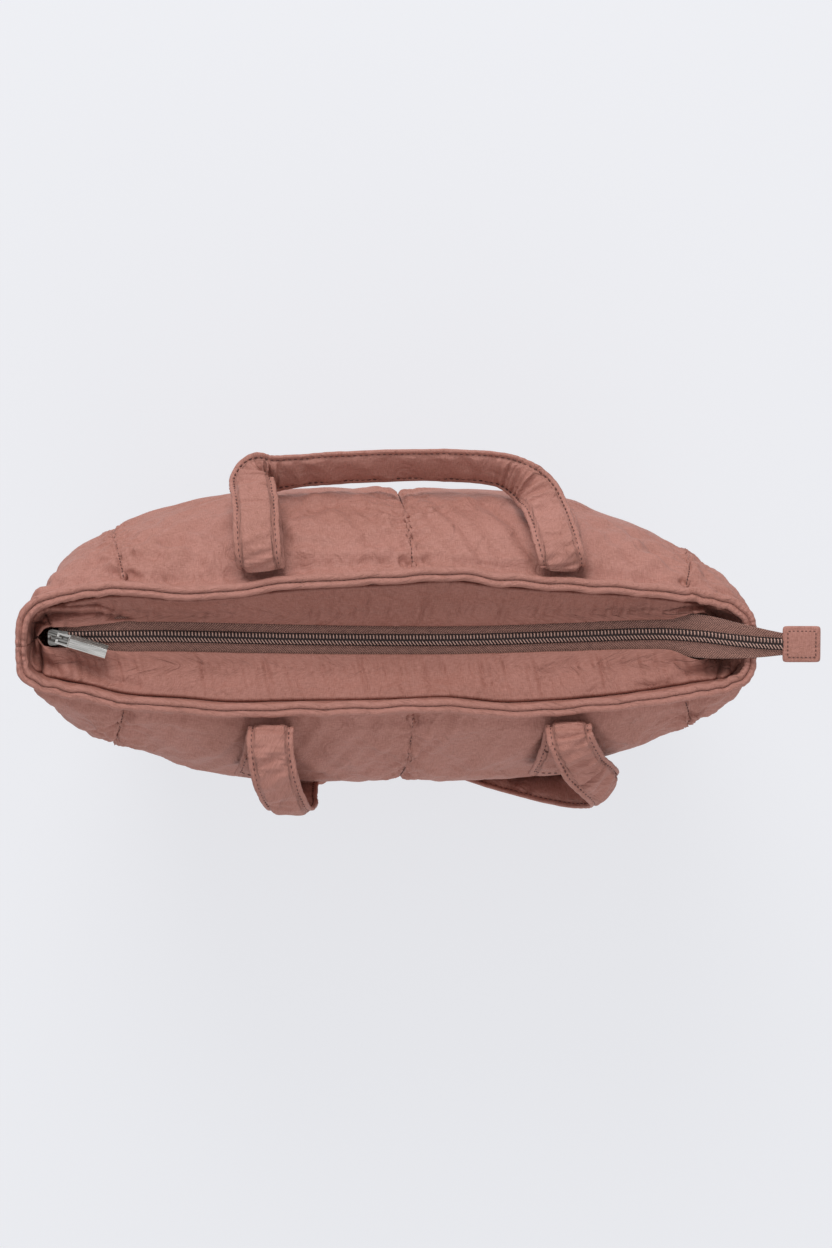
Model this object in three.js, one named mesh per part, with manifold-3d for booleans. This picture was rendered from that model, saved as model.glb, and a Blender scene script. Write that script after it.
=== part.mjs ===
// A zipped puffer tote bag: a quilted front and back in two halves each, a base, a bound rim, a sunken zip
// closure and two padded handles.
// Millimetres, +Z up, +X along the mouth, +Y to the back. The origin is the middle of the flat base.
import * as THREE from 'three';
import { mergeVertices } from 'three/addons/utils/BufferGeometryUtils.js';
import Module from 'manifold-3d';

const wasm = await Module();
wasm.setup();

// Driving dimensions of the body
const BAG_HEIGHT = 320; // from the floor to the top of the rim
const MOUTH_LENGTH = 432; // between the two ends of the lining, at the rim
const MOUTH_DEPTH = 76;
const BELLY_DEPTH = 164; // the lining's depth where the bag is widest
const SEAM_WALL = 3; // padded cloth where a quilting seam pinches it
const PUFF = 5.5; // what the padding adds in the middle of a quilted square
const BASE_WALL = 9;
const CLOTH_GAP = 0.4; // between two pieces that are sewn together

// Driving dimensions of the rim, the closure and the zip
const RIM_WIDTH = 8.4;
const RIM_HEIGHT = 4.6;
const FACING_WALL = 1.4;
const ZIP_SINK = 30; // how far the zip hangs below the rim at its lowest
const ZIP_VISIBLE = 18.5; // between the two rows of stitching beside the zip
const TAPE_WIDTH = 13; // one of the two tapes
const TAPE_WALL = 1;
const COIL_WIDTH = 2.9; // one of the two rows of teeth
const COIL_HEIGHT = 2.3;
const TAB_LENGTH = 22.5;
const TAB_WIDTH = 21.5;
const TAB_WALL = 3.6;

// Driving dimensions of the handles
const STRAP_WIDTH = 28;
const STRAP_WALL = 7.4; // padded, between its two rows of stitching
const STRAP_EDGE = 2.4;
const HANDLE_SPAN = 178; // between the middles of a handle's two feet
const BACK_OFFSET = 15.3; // from the middle of the mouth to the middle of the back handle
const FRONT_OFFSET = 20;
const SEWN_LENGTH = 42; // of each foot, down the face of a panel
const BACK_DROP = 75; // from the fold by the rim, of the handle that has flopped over the back
const FRONT_DROP = 130; // of the handle that hangs in front
const BACK_REACH = (BELLY_DEPTH - MOUTH_DEPTH) / 2 + 16; // how far out it lies, past the belly
const FRONT_REACH = (BELLY_DEPTH - MOUTH_DEPTH) / 2 + 6;

// Driving dimensions of the metal slider and its pull
const SLIDER_LENGTH = 12;
const SLIDER_WIDTH = 9.6;
const SLIDER_PLATE = 1.3;
const SLIDER_PLAY = 0.6; // round the teeth and the tapes in the slider's slot
const BAIL_WIDTH = 1.6;
const BAIL_WALL = 1.2;
const PULL_LENGTH = 23;
const PULL_WIDTH = 8.6;
const PULL_WALL = 3.2;
const PULL_NECK = 7.4; // from the pin to the block
const PULL_PIN = 1.5;
const PULL_YAW = THREE.MathUtils.degToRad(-17); // the way the pull lies across the zip

// The bag's level sections, from the base up. Heights are shares of the height, lengths and shifts of the
// mouth's length, and depths of the belly's.
const SECTIONS = [
  { height: 0.0, length: 0.68, shift: -0.005, depth: 0.75, squareness: 4.0 },
  { height: 0.03, length: 0.725, shift: -0.005, depth: 0.83, squareness: 3.7 },
  { height: 0.1, length: 0.77, shift: -0.006, depth: 0.88, squareness: 3.3 },
  { height: 0.25, length: 0.825, shift: -0.007, depth: 0.91, squareness: 3.0 },
  { height: 0.4, length: 0.865, shift: -0.008, depth: 0.925, squareness: 2.85 },
  { height: 0.55, length: 0.9, shift: -0.008, depth: 0.95, squareness: 2.8 },
  { height: 0.7, length: 0.93, shift: -0.007, depth: 1.0, squareness: 2.75 },
  { height: 0.8, length: 0.95, shift: -0.005, depth: 0.955, squareness: 2.7 },
  { height: 0.88, length: 0.968, shift: -0.002, depth: 0.845, squareness: 2.75 },
  { height: 0.95, length: 0.988, shift: 0.0, depth: 0.655, squareness: 3.3 },
  { height: 1.0, length: 1.0, shift: 0.0, depth: 0.463, squareness: 4.2 },
];

// The quilting's three upright seams, as shares of the way round a panel from the left side to the right.
const QUILT_SEAMS = [
  { height: 0.0, left: 0.185, middle: 0.520, right: 0.850 },
  { height: 0.1, left: 0.178, middle: 0.520, right: 0.860 },
  { height: 0.25, left: 0.172, middle: 0.520, right: 0.868 },
  { height: 0.4, left: 0.165, middle: 0.520, right: 0.875 },
  { height: 0.55, left: 0.160, middle: 0.520, right: 0.882 },
  { height: 0.7, left: 0.158, middle: 0.520, right: 0.885 },
  { height: 0.8, left: 0.160, middle: 0.523, right: 0.884 },
  { height: 0.88, left: 0.164, middle: 0.527, right: 0.881 },
  { height: 1.0, left: 0.172, middle: 0.534, right: 0.874 },
];

// The base's edge, from the floor up, as shares of its wall.
const BASE_EDGE = [
  { level: 0, inset: 0.22 },
  { level: 0.16, inset: 0 },
  { level: 0.65, inset: 0 },
  { level: 1, inset: 0.35 },
];

// How the rim wanders in and out, as shares of the mouth's depth, and up and down, as shares of the sink.
const RIM_WAVES = [
  { along: 0.0, front: 0.0, back: 0.0, rise: 0.0 },
  { along: 0.11, front: -0.075, back: -0.01, rise: 0.03 },
  { along: 0.17, front: -0.035, back: -0.02, rise: 0.0 },
  { along: 0.24, front: -0.024, back: -0.085, rise: -0.05 },
  { along: 0.3, front: 0.0, back: -0.075, rise: -0.08 },
  { along: 0.37, front: -0.01, back: -0.02, rise: -0.1 },
  { along: 0.44, front: -0.02, back: 0.01, rise: -0.06 },
  { along: 0.52, front: -0.034, back: 0.035, rise: -0.03 },
  { along: 0.58, front: -0.045, back: 0.06, rise: -0.05 },
  { along: 0.65, front: 0.0, back: 0.01, rise: -0.1 },
  { along: 0.76, front: -0.03, back: -0.026, rise: -0.07 },
  { along: 0.83, front: -0.06, back: -0.035, rise: 0.0 },
  { along: 0.9, front: -0.075, back: -0.03, rise: 0.03 },
  { along: 1.0, front: 0.0, back: 0.0, rise: 0.0 },
];

// The zip's middle line: along and across are shares of half the mouth's length and depth, and sink is one of
// the zip's sink.
const ZIP_LINE = [
  { along: -0.96, across: 0.13, sink: 0.42 },
  { along: -0.91, across: 0.13, sink: 0.42 },
  { along: -0.86, across: 0.13, sink: 0.42 },
  { along: -0.78, across: 0.13, sink: 0.53 },
  { along: -0.6, across: 0.12, sink: 0.78 },
  { along: -0.2, across: 0.06, sink: 1.0 },
  { along: 0.2, across: 0.05, sink: 1.0 },
  { along: 0.55, across: 0.12, sink: 0.84 },
  { along: 0.75, across: 0.17, sink: 0.58 },
  { along: 0.87, across: 0.15, sink: 0.22 },
  { along: 0.95, across: 0.11, sink: -0.05 },
  { along: 1.03, across: 0.07, sink: -0.12 },
  { along: 1.09, across: 0.05, sink: -0.1 },
];

// How wide one tape is along the zip, as a share of its full width.
const TAPE_EDGE = [
  { along: -0.91, width: 0.5 },
  { along: -0.82, width: 0.6 },
  { along: -0.7, width: 1.0 },
  { along: 0.0, width: 1.0 },
  { along: 0.86, width: 1.0 },
  { along: 0.97, width: 0.8 },
  { along: 1.09, width: 0.5 },
];

// The facings' inner edges, that part round the zip and meet past its ends: along is a share of half the
// mouth's length, spread of half the visible zip, and under, of the zip's sink, is how far the edge dips below
// the tape.
const FACING_EDGE = [
  { along: -0.962, spread: 0.0, under: 0.12 },
  { along: -0.94, spread: 0.55, under: 0.0 },
  { along: -0.85, spread: 0.66, under: 0.0 },
  { along: -0.78, spread: 0.84, under: 0.0 },
  { along: -0.7, spread: 1.0, under: 0.0 },
  { along: 0.78, spread: 1.0, under: 0.0 },
  { along: 0.845, spread: 1.5, under: 0.0 },
  { along: 0.88, spread: 1.52, under: 0.3 },
  { along: 0.91, spread: 0.9, under: 0.65 },
  { along: 0.94, spread: 0.0, under: 0.8 },
];

// The handles' middle lines. Across is a share of half the span, out of the handle's reach, and up of its drop.
// The back handle lies over the back and its bar turns up on edge. The front one hangs in a loop. The face columns
// say which way the strap's outer side looks: along the mouth, out from the bag, and up.
const LYING_HANDLE = [
  { across: -1.01, out: 0, up: 0.068, faceAcross: 0, faceOut: 0.8, faceUp: -0.6 },
  { across: -1.02, out: 0.08, up: 0.127, faceAcross: 0, faceOut: 0.25, faceUp: -0.97 },
  { across: -1.03, out: 0.23, up: 0.133, faceAcross: 0, faceOut: -0.2, faceUp: -0.98 },
  { across: -1.04, out: 0.41, up: 0.05, faceAcross: 0, faceOut: -0.5, faceUp: -0.87 },
  { across: -1.05, out: 0.58, up: -0.12, faceAcross: 0, faceOut: -0.72, faceUp: -0.69 },
  { across: -1.07, out: 0.715, up: -0.3, faceAcross: 0, faceOut: -0.75, faceUp: -0.66 },
  { across: -1.09, out: 0.83, up: -0.5, faceAcross: 0.1, faceOut: -0.55, faceUp: -0.83 },
  { across: -1.05, out: 0.87, up: -0.595, faceAcross: 0.25, faceOut: 0.05, faceUp: -0.97 },
  { across: -0.96, out: 0.88, up: -0.635, faceAcross: 0.15, faceOut: 0.55, faceUp: -0.82 },
  { across: -0.77, out: 0.91, up: -0.66, faceAcross: 0, faceOut: 0.69, faceUp: -0.72 },
  { across: -0.46, out: 0.94, up: -0.675, faceAcross: 0, faceOut: 0.7, faceUp: -0.7 },
  { across: 0.03, out: 0.96, up: -0.675, faceAcross: 0, faceOut: 0.72, faceUp: -0.7 },
  { across: 0.38, out: 0.945, up: -0.66, faceAcross: 0, faceOut: 0.7, faceUp: -0.72 },
  { across: 0.6, out: 0.905, up: -0.62, faceAcross: -0.05, faceOut: 0.62, faceUp: -0.78 },
  { across: 0.75, out: 0.8, up: -0.54, faceAcross: -0.15, faceOut: 0.42, faceUp: -0.9 },
  { across: 0.86, out: 0.65, up: -0.395, faceAcross: -0.15, faceOut: 0, faceUp: -1 },
  { across: 0.92, out: 0.47, up: -0.195, faceAcross: -0.08, faceOut: -0.38, faceUp: -0.92 },
  { across: 0.96, out: 0.28, up: 0.005, faceAcross: -0.03, faceOut: -0.3, faceUp: -0.95 },
  { across: 0.99, out: 0.11, up: 0.118, faceAcross: 0, faceOut: 0.2, faceUp: -0.97 },
  { across: 1.01, out: 0, up: 0.068, faceAcross: 0, faceOut: 0.8, faceUp: -0.6 },
];
const HANGING_HANDLE = [
  { across: -1.0, out: 0.04, up: 0.05, faceAcross: 0, faceOut: 0.8, faceUp: -0.6 },
  { across: -1.0, out: 0.15, up: 0.085, faceAcross: 0, faceOut: 0.2, faceUp: -0.98 },
  { across: -0.99, out: 0.35, up: 0.08, faceAcross: 0, faceOut: -0.05, faceUp: -1.0 },
  { across: -0.965, out: 0.6, up: 0.045, faceAcross: 0, faceOut: -0.35, faceUp: -0.94 },
  { across: -0.93, out: 0.83, up: -0.05, faceAcross: 0, faceOut: -0.75, faceUp: -0.66 },
  { across: -0.89, out: 1.02, up: -0.2, faceAcross: 0, faceOut: -0.97, faceUp: -0.2 },
  { across: -0.86, out: 1.04, up: -0.38, faceAcross: 0, faceOut: -1, faceUp: 0 },
  { across: -0.82, out: 0.99, up: -0.56, faceAcross: 0, faceOut: -1, faceUp: 0 },
  { across: -0.72, out: 0.9, up: -0.73, faceAcross: 0, faceOut: -1, faceUp: 0 },
  { across: -0.5, out: 0.82, up: -0.87, faceAcross: 0, faceOut: -1, faceUp: 0 },
  { across: -0.2, out: 0.785, up: -0.94, faceAcross: 0, faceOut: -1, faceUp: 0.05 },
  { across: 0.15, out: 0.785, up: -0.92, faceAcross: 0, faceOut: -1, faceUp: 0.12 },
  { across: 0.48, out: 0.83, up: -0.83, faceAcross: 0, faceOut: -0.95, faceUp: 0.3 },
  { across: 0.78, out: 0.9, up: -0.7, faceAcross: -0.1, faceOut: -0.85, faceUp: 0.5 },
  { across: 1.05, out: 0.94, up: -0.56, faceAcross: -0.3, faceOut: -0.75, faceUp: 0.55 },
  { across: 1.22, out: 0.91, up: -0.43, faceAcross: -0.65, faceOut: -0.65, faceUp: 0.2 },
  { across: 1.27, out: 0.84, up: -0.3, faceAcross: -0.75, faceOut: -0.5, faceUp: -0.4 },
  { across: 1.22, out: 0.71, up: -0.16, faceAcross: -0.6, faceOut: -0.4, faceUp: -0.7 },
  { across: 1.12, out: 0.52, up: -0.03, faceAcross: -0.35, faceOut: -0.35, faceUp: -0.87 },
  { across: 1.05, out: 0.3, up: 0.06, faceAcross: -0.1, faceOut: -0.15, faceUp: -0.98 },
  { across: 1.01, out: 0.13, up: 0.085, faceAcross: 0, faceOut: 0.2, faceUp: -0.98 },
  { across: 1.0, out: 0.04, up: 0.05, faceAcross: 0, faceOut: 0.8, faceUp: -0.6 },
];

// How finely the soft pieces are faceted
const SQUARE_COLUMNS = 10; // across one quilted square
const SQUARE_ROWS = 6; // up one quilted square
const FACING_ROWS = 5;
const STRAP_STEPS = 2; // between two rows of a handle's table
const ZIP_STEPS = 28;

const { clamp, lerp, smoothstep } = THREE.MathUtils;
const FRONT = -1;
const BACK = 1;
const LEFT = -1;
const RIGHT = 1;

// A column of a table at any value of its key, on a smooth curve through the rows.
function smooth(rows, key, column, at) {
  const last = rows.length - 1;
  const x = clamp(at, rows[0][key], rows[last][key]);
  let i = 0;
  while (i < last - 1 && rows[i + 1][key] < x) i++;
  const slope = (j) => {
    const before = rows[Math.max(j - 1, 0)];
    const after = rows[Math.min(j + 1, last)];
    return (after[column] - before[column]) / (after[key] - before[key]);
  };
  const step = rows[i + 1][key] - rows[i][key];
  const t = (x - rows[i][key]) / step;
  const rise = rows[i + 1][column] - rows[i][column];
  const [m0, m1] = [slope(i) * step, slope(i + 1) * step];
  return rows[i][column] + t * (m0 + t * (3 * rise - 2 * m0 - m1 + t * (m0 + m1 - 2 * rise)));
}

// A unit solid with every vertex moved to its place on the bag, closed up and facing out.
function shaped(geometry, place) {
  const position = geometry.getAttribute('position');
  const from = new THREE.Vector3();
  for (let i = 0; i < position.count; i++) {
    const to = place(from.fromBufferAttribute(position, i));
    position.setXYZ(i, to.x, to.y, to.z);
  }
  geometry.deleteAttribute('normal');
  geometry.deleteAttribute('uv');
  const closed = mergeVertices(geometry, 1e-3);
  facesOut(closed);
  closed.computeVertexNormals();
  return closed;
}

function facesOut(geometry) {
  const index = geometry.index.array;
  const corner = [0, 1, 2].map(() => new THREE.Vector3());
  let volume = 0;
  for (let i = 0; i < index.length; i += 3) {
    corner.forEach((point, k) => point.fromBufferAttribute(geometry.attributes.position, index[i + k]));
    volume += corner[0].dot(corner[1].cross(corner[2]));
  }
  if (volume > 0) return;
  for (let i = 0; i < index.length; i += 3) [index[i + 1], index[i + 2]] = [index[i + 2], index[i + 1]];
}

// Half of a level section, front or back, as points with their length along it from the left side.
const SECTION_STEPS = 240;
const sections = new Map();
function sectionAt(height) {
  const key = height.toFixed(5);
  if (sections.has(key)) return sections.get(key);
  const column = (name) => smooth(SECTIONS, 'height', name, height);
  const mouth = MOUTH_DEPTH / (SECTIONS.at(-1).depth * BELLY_DEPTH); // brings the top row to the mouth
  const a = (column('length') * MOUTH_LENGTH) / 2;
  const b = (column('depth') * BELLY_DEPTH * lerp(1, mouth, smoothstep(height, 0.8, 1))) / 2;
  const power = 2 / column('squareness');
  const points = [];
  let along = 0;
  for (let i = 0; i <= SECTION_STEPS; i++) {
    const angle = (Math.PI * i) / SECTION_STEPS;
    const x = -a * Math.sign(Math.cos(angle)) * Math.abs(Math.cos(angle)) ** power;
    const y = i % SECTION_STEPS ? b * Math.sin(angle) ** power : 0;
    if (i) along += Math.hypot(x - points[i - 1].x, y - points[i - 1].y);
    points.push({ x, y, along });
  }
  sections.set(key, points);
  return points;
}

// A point of the lining: share is the way round from the left side to the right, and height a share of the
// height.
function lining(side, share, height) {
  const points = sectionAt(height);
  const along = clamp(share, 0, 1) * points[SECTION_STEPS].along;
  let i = 0;
  while (i < SECTION_STEPS - 1 && points[i + 1].along < along) i++;
  const t = (along - points[i].along) / (points[i + 1].along - points[i].along);
  const wave = smooth(RIM_WAVES, 'along', side === FRONT ? 'front' : 'back', share);
  const rise = smooth(RIM_WAVES, 'along', 'rise', share);
  const near = smoothstep(height, 0.8, 1);
  const y = lerp(points[i].y, points[i + 1].y, t) + wave * MOUTH_DEPTH * near;
  const top = BAG_HEIGHT - RIM_HEIGHT - CLOTH_GAP;
  const z = lerp(CLOTH_GAP + 1, top, height) + rise * ZIP_SINK * near;
  const shift = smooth(SECTIONS, 'height', 'shift', height) * MOUTH_LENGTH;
  const x = lerp(points[i].x, points[i + 1].x, t) + shift;
  return new THREE.Vector3(x, side * y, z);
}

// The direction out of the bag at a point of the lining.
function outward(side, share, height) {
  const d = 0.004;
  const [s0, s1] = [Math.max(share - d, 0), Math.min(share + d, 1)];
  const [h0, h1] = [Math.max(height - d, 0), Math.min(height + d, 1)];
  const along = lining(side, s1, height).sub(lining(side, s0, height));
  const up = lining(side, share, h1).sub(lining(side, share, h0));
  if (share === 0 || share === 1) along.set(0, 1, 0).multiplyScalar(share ? -side : side);
  return along.cross(up).multiplyScalar(-side).normalize();
}

// The share of the way round at a place in the quilting, where 1, 2 and 3 are the seams, and 0 and 4 the sides.
function quiltShare(place, height) {
  const seam = (name) => smooth(QUILT_SEAMS, 'height', name, height);
  const seams = [0, seam('left'), seam('middle'), seam('right'), 1];
  const square = Math.min(Math.floor(place), 3);
  return lerp(seams[square], seams[square + 1], place - square);
}

// How high the padding stands at a place in the quilting, from 0 on a seam to 1 in the middle of a square.
const ROWS = 2;
const COLUMNS = 4;
const DOME = 0.45;
const SQUARE_PUFF = [0.55, 1, 1, 0.55]; // of each square across: the outer two are pulled round the sides
const crown = (place) => Math.max(Math.sin(Math.PI * (place % 1)), 0) ** DOME;
const puffAt = (place, height) => (
  PUFF * SQUARE_PUFF[Math.min(Math.floor(place), 3)] * crown(place) * crown(height * ROWS)
);

// A point in a panel's wall: place is across the quilting, height a share, and depth 0 at the lining and 1
// outside.
function panelPoint(side, place, height, depth) {
  const share = quiltShare(place, height);
  const wall = SEAM_WALL + puffAt(place, height);
  const out = outward(side, share, height);
  const tilt = smoothstep(height, 0, 0.06) * (1 - smoothstep(height, 0.8, 1)); // none at either end
  out.setZ(out.z * tilt).normalize();
  const point = lining(side, share, height).addScaledVector(out, depth * wall);
  point.y += (side * CLOTH_GAP) / 2;
  return point;
}

// Steps that bunch up towards the seams, where the padding falls away.
const bunched = (place) => Math.floor(place) + (1 - Math.cos(Math.PI * (place % 1))) / 2;
const HALF_STEPS = COLUMNS * SQUARE_COLUMNS;

// A step round the whole bag, from the left side along the front and back again: which side, and where on it.
function roundPlace(step) {
  const side = step <= HALF_STEPS ? FRONT : BACK;
  const place = bunched((side === FRONT ? step : 2 * HALF_STEPS - step) / SQUARE_COLUMNS);
  return { side, place: Math.min(place, COLUMNS) };
}
const stepOf = (y, x) => Math.round(((Math.atan2(y, x) / Math.PI + 2) % 2) * HALF_STEPS) % (2 * HALF_STEPS);

// Half of the front or back: a wall from a side of the bag to the upright seam in the middle.
function panel(side, half) {
  const unit = new THREE.BoxGeometry(1, 1, 1, HALF_STEPS / 2, ROWS * SQUARE_ROWS, 1);
  return shaped(unit, (p) => {
    const place = bunched((p.x + 0.5 + (half === RIGHT ? 1 : 0)) * (COLUMNS / 2));
    const height = Math.min(bunched((p.y + 0.5) * ROWS), ROWS) / ROWS;
    const point = panelPoint(side, Math.min(place, COLUMNS), height, p.z + 0.5);
    point.x += (half * CLOTH_GAP) / 2;
    return point;
  });
}

// The base: a flat pad inside the foot of the two panels, with rounded edges.
function base() {
  const rings = BASE_EDGE.length - 1;
  const unit = new THREE.CylinderGeometry(1, 1, 1, 2 * HALF_STEPS, rings);
  return shaped(unit, (p) => {
    const { side, place } = roundPlace(stepOf(p.x, p.z));
    const { level, inset } = BASE_EDGE[Math.round((p.y + 0.5) * rings)];
    const outline = lining(side, quiltShare(place, 0), 0);
    const reach = Math.hypot(outline.x, outline.y);
    const scale = (Math.hypot(p.x, p.z) * (reach - CLOTH_GAP - inset * BASE_WALL)) / reach;
    return new THREE.Vector3(outline.x * scale, outline.y * scale, level * BASE_WALL);
  });
}

// The rim: one band of two rolls with a stitched groove between them, all round the mouth.
function rim() {
  const unit = new THREE.TorusGeometry(1, 0.5, 8, 2 * HALF_STEPS);
  return shaped(unit, (p) => {
    const { side, place } = roundPlace(stepOf(p.y, p.x));
    const share = quiltShare(place, 1);
    const radial = 2 * (Math.hypot(p.x, p.y) - 1);
    const groove = p.z > 0 ? 1 - 0.4 * Math.exp(-((radial / 0.3) ** 2)) : 1;
    const middle = lining(side, share, 1);
    const out = outward(side, share, 1).setZ(0).normalize();
    middle.addScaledVector(out, SEAM_WALL / 4 + (radial * RIM_WIDTH) / 2);
    middle.z += CLOTH_GAP + RIM_HEIGHT / 2 + p.z * RIM_HEIGHT * groove;
    return middle;
  });
}

// The zip's middle line, and the way across it.
const halfLength = MOUTH_LENGTH / 2;
function zipLine(x) {
  const along = x / halfLength;
  const y = (smooth(ZIP_LINE, 'along', 'across', along) * MOUTH_DEPTH) / 2;
  return new THREE.Vector3(x, y, BAG_HEIGHT - smooth(ZIP_LINE, 'along', 'sink', along) * ZIP_SINK);
}

// One facing: cloth that hangs from the rim down to the zip's tape, and meets the other past the zip's ends.
function facing(side) {
  const unit = new THREE.BoxGeometry(1, 1, 1, HALF_STEPS, FACING_ROWS, 1);
  const [first, last] = [FACING_EDGE[0].along, FACING_EDGE.at(-1).along];
  return shaped(unit, (p) => {
    const place = Math.min(bunched((p.x + 0.5) * COLUMNS), COLUMNS);
    const share = quiltShare(place, 1);
    const t = 0.5 - p.y;
    const outer = lining(side, share, 1);
    outer.addScaledVector(outward(side, share, 1).setZ(0).normalize(), -CLOTH_GAP - FACING_WALL / 2);
    outer.y += (side * CLOTH_GAP) / 2;
    outer.z -= FACING_WALL / 2;
    const along = clamp(outer.x / halfLength, first, last);
    const inner = zipLine(along * halfLength);
    const spread = smooth(FACING_EDGE, 'along', 'spread', along);
    const under = smooth(FACING_EDGE, 'along', 'under', along);
    inner.y += (side * (CLOTH_GAP + FACING_WALL + spread * (ZIP_VISIBLE - CLOTH_GAP - FACING_WALL))) / 2;
    inner.z += TAPE_WALL / 2 + 2 * CLOTH_GAP + FACING_WALL / 2 - under * ZIP_SINK;
    const point = outer.lerp(inner, t);
    const ends = 1 - smoothstep(Math.min(share, 1 - share), 0.02, 0.16);
    point.z -= Math.sin(Math.PI * t) ** 2 * ZIP_SINK * (0.1 + 0.3 * ends);
    point.z += p.z * FACING_WALL;
    return point;
  });
}

// A strip along the zip, from one distance off its middle line to another, and from one height to another.
function zipStrip(side, start, end, near, far, low, high) {
  const unit = new THREE.BoxGeometry(1, 1, 1, ZIP_STEPS, 1, 1);
  return shaped(unit, (p) => {
    const point = zipLine(lerp(start, end, p.x + 0.5));
    point.y += side * lerp(near, far(point.x), p.y + 0.5);
    point.z += lerp(low, high, p.z + 0.5);
    return point;
  });
}

const sliderMiddle = -0.905 * halfLength;
const tabStart = 1.085 * halfLength;
const tapeEdge = (x) => TAPE_WIDTH * smooth(TAPE_EDGE, 'along', 'width', x / halfLength);

function tape(side) {
  return zipStrip(side, sliderMiddle, tabStart, CLOTH_GAP / 2, tapeEdge, -TAPE_WALL / 2, TAPE_WALL / 2);
}

function coil(side) {
  const low = TAPE_WALL / 2 + CLOTH_GAP;
  return zipStrip(side, sliderMiddle, tabStart, CLOTH_GAP / 2, () => COIL_WIDTH, low, low + COIL_HEIGHT);
}

// The folded cloth square that closes the zip's free end.
function tab() {
  const edge = 0.8;
  const side = [TAB_LENGTH - 2 * edge, TAB_WIDTH - 2 * edge];
  const outline = new THREE.Shape();
  outline.moveTo(0, -side[1] / 2).lineTo(side[0], -side[1] / 2);
  outline.lineTo(side[0], side[1] / 2).lineTo(0, side[1] / 2);
  const block = new THREE.ExtrudeGeometry(outline, {
    depth: TAB_WALL - 2 * edge, bevelSize: edge, bevelThickness: edge, bevelSegments: 2,
  });
  const end = zipLine(tabStart);
  return shaped(block, (p) => new THREE.Vector3(
    end.x + CLOTH_GAP + edge + p.x, end.y + p.y, end.z + p.z + edge - TAB_WALL / 2 + COIL_HEIGHT / 2,
  ));
}

// A padded strap through a list of places with the way that its outer side faces, thin at its stitched edges.
const STRAP_ACROSS = [-0.5, -0.37, -0.2, 0, 0.2, 0.37, 0.5];
const STRAP_PAD = [0, 0.12, 0.86, 1, 0.86, 0.12, 0];
function strap(stations) {
  const steps = (stations.length - 1) * STRAP_STEPS;
  const columns = ['x', 'y', 'z', 'nx', 'ny', 'nz', 'pad'];
  const at = (t) => {
    const row = t * (stations.length - 1);
    const [x, y, z, nx, ny, nz, pad] = columns.map((name) => smooth(stations, 'i', name, row));
    return { centre: new THREE.Vector3(x, y, z), face: new THREE.Vector3(nx, ny, nz), pad };
  };
  const unit = new THREE.BoxGeometry(1, 1, 1, steps, STRAP_ACROSS.length - 1, 1);
  return shaped(unit, (p) => {
    const t = p.x + 0.5;
    const { centre, face, pad } = at(t);
    const way = at(Math.min(t + 1e-3, 1)).centre.sub(at(Math.max(t - 1e-3, 0)).centre).normalize();
    const across = face.clone().cross(way).normalize();
    const out = way.clone().cross(across);
    const column = Math.round((p.y + 0.5) * (STRAP_ACROSS.length - 1));
    const wall = lerp(STRAP_EDGE, STRAP_WALL, STRAP_PAD[column] * pad);
    centre.addScaledVector(across, STRAP_ACROSS[column] * STRAP_WIDTH);
    return centre.addScaledVector(out, p.z * wall);
  });
}

// The place across the quilting where a panel, near its rim, is at a given distance along the mouth.
function placeAt(side, x, height) {
  let [low, high] = [0, COLUMNS];
  for (let i = 0; i < 30; i++) {
    const middle = (low + high) / 2;
    if (panelPoint(side, middle, height, 1).x < x) low = middle;
    else high = middle;
  }
  return low;
}

// A whole handle: sewn up the panel's face, over the fold by the rim, along its table, and to the other foot.
const SEWN_STATIONS = 4;
const SEWN_PAD = 0.35;
function handle(side, offset, table, reach, rise) {
  const top = 0.98;
  const bottom = top - SEWN_LENGTH / BAG_HEIGHT;
  const foot = (x) => Array.from({ length: SEWN_STATIONS }, (_, k) => {
    const height = lerp(bottom, top, k / (SEWN_STATIONS - 1));
    const place = placeAt(side, x, height);
    const out = outward(side, quiltShare(place, height), height);
    const off = 2 * CLOTH_GAP + lerp(STRAP_EDGE, STRAP_WALL, SEWN_PAD) / 2 + 0.5;
    const p = panelPoint(side, place, height, 1).addScaledVector(out, off);
    return { x: p.x, y: p.y, z: p.z, nx: out.x, ny: out.y, nz: out.z, pad: SEWN_PAD };
  });
  const feet = [-1, 1].map((end) => foot(offset + (end * HANDLE_SPAN) / 2));
  const fold = (end) => feet[end].at(-1);
  const free = table.map((row) => {
    const end = clamp((row.across + 1) / 2, 0, 1);
    return {
      x: offset + (row.across * HANDLE_SPAN) / 2,
      y: lerp(fold(0).y, fold(1).y, end) + side * (row.out * reach),
      z: lerp(fold(0).z, fold(1).z, end) + row.up * rise,
      nx: row.faceAcross, ny: side * row.faceOut, nz: row.faceUp, pad: 1,
    };
  });
  return strap([...feet[0], ...free, ...feet[1].reverse()].map((station, i) => ({ i, ...station })));
}

// The slider and its pull are modelled flat, with the pull's pin at the origin, then set on the zip.
const solidOf = (geometry) => {
  const closed = mergeVertices(geometry.deleteAttribute('normal').deleteAttribute('uv'), 1e-4);
  const [points, corners] = [closed.attributes.position.array, closed.index.array];
  return new wasm.Manifold(new wasm.Mesh({ numProp: 3, vertProperties: points, triVerts: corners }));
};
const geometryOf = (solid) => {
  const mesh = solid.getMesh();
  const geometry = new THREE.BufferGeometry();
  geometry.setAttribute('position', new THREE.BufferAttribute(mesh.vertProperties, 3));
  geometry.setIndex(new THREE.BufferAttribute(mesh.triVerts, 1));
  geometry.computeVertexNormals();
  return geometry;
};
const block = (x0, x1, width, z0, z1) => {
  const box = new THREE.BoxGeometry(x1 - x0, width, z1 - z0).translate((x0 + x1) / 2, 0, (z0 + z1) / 2);
  return solidOf(box);
};

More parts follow.
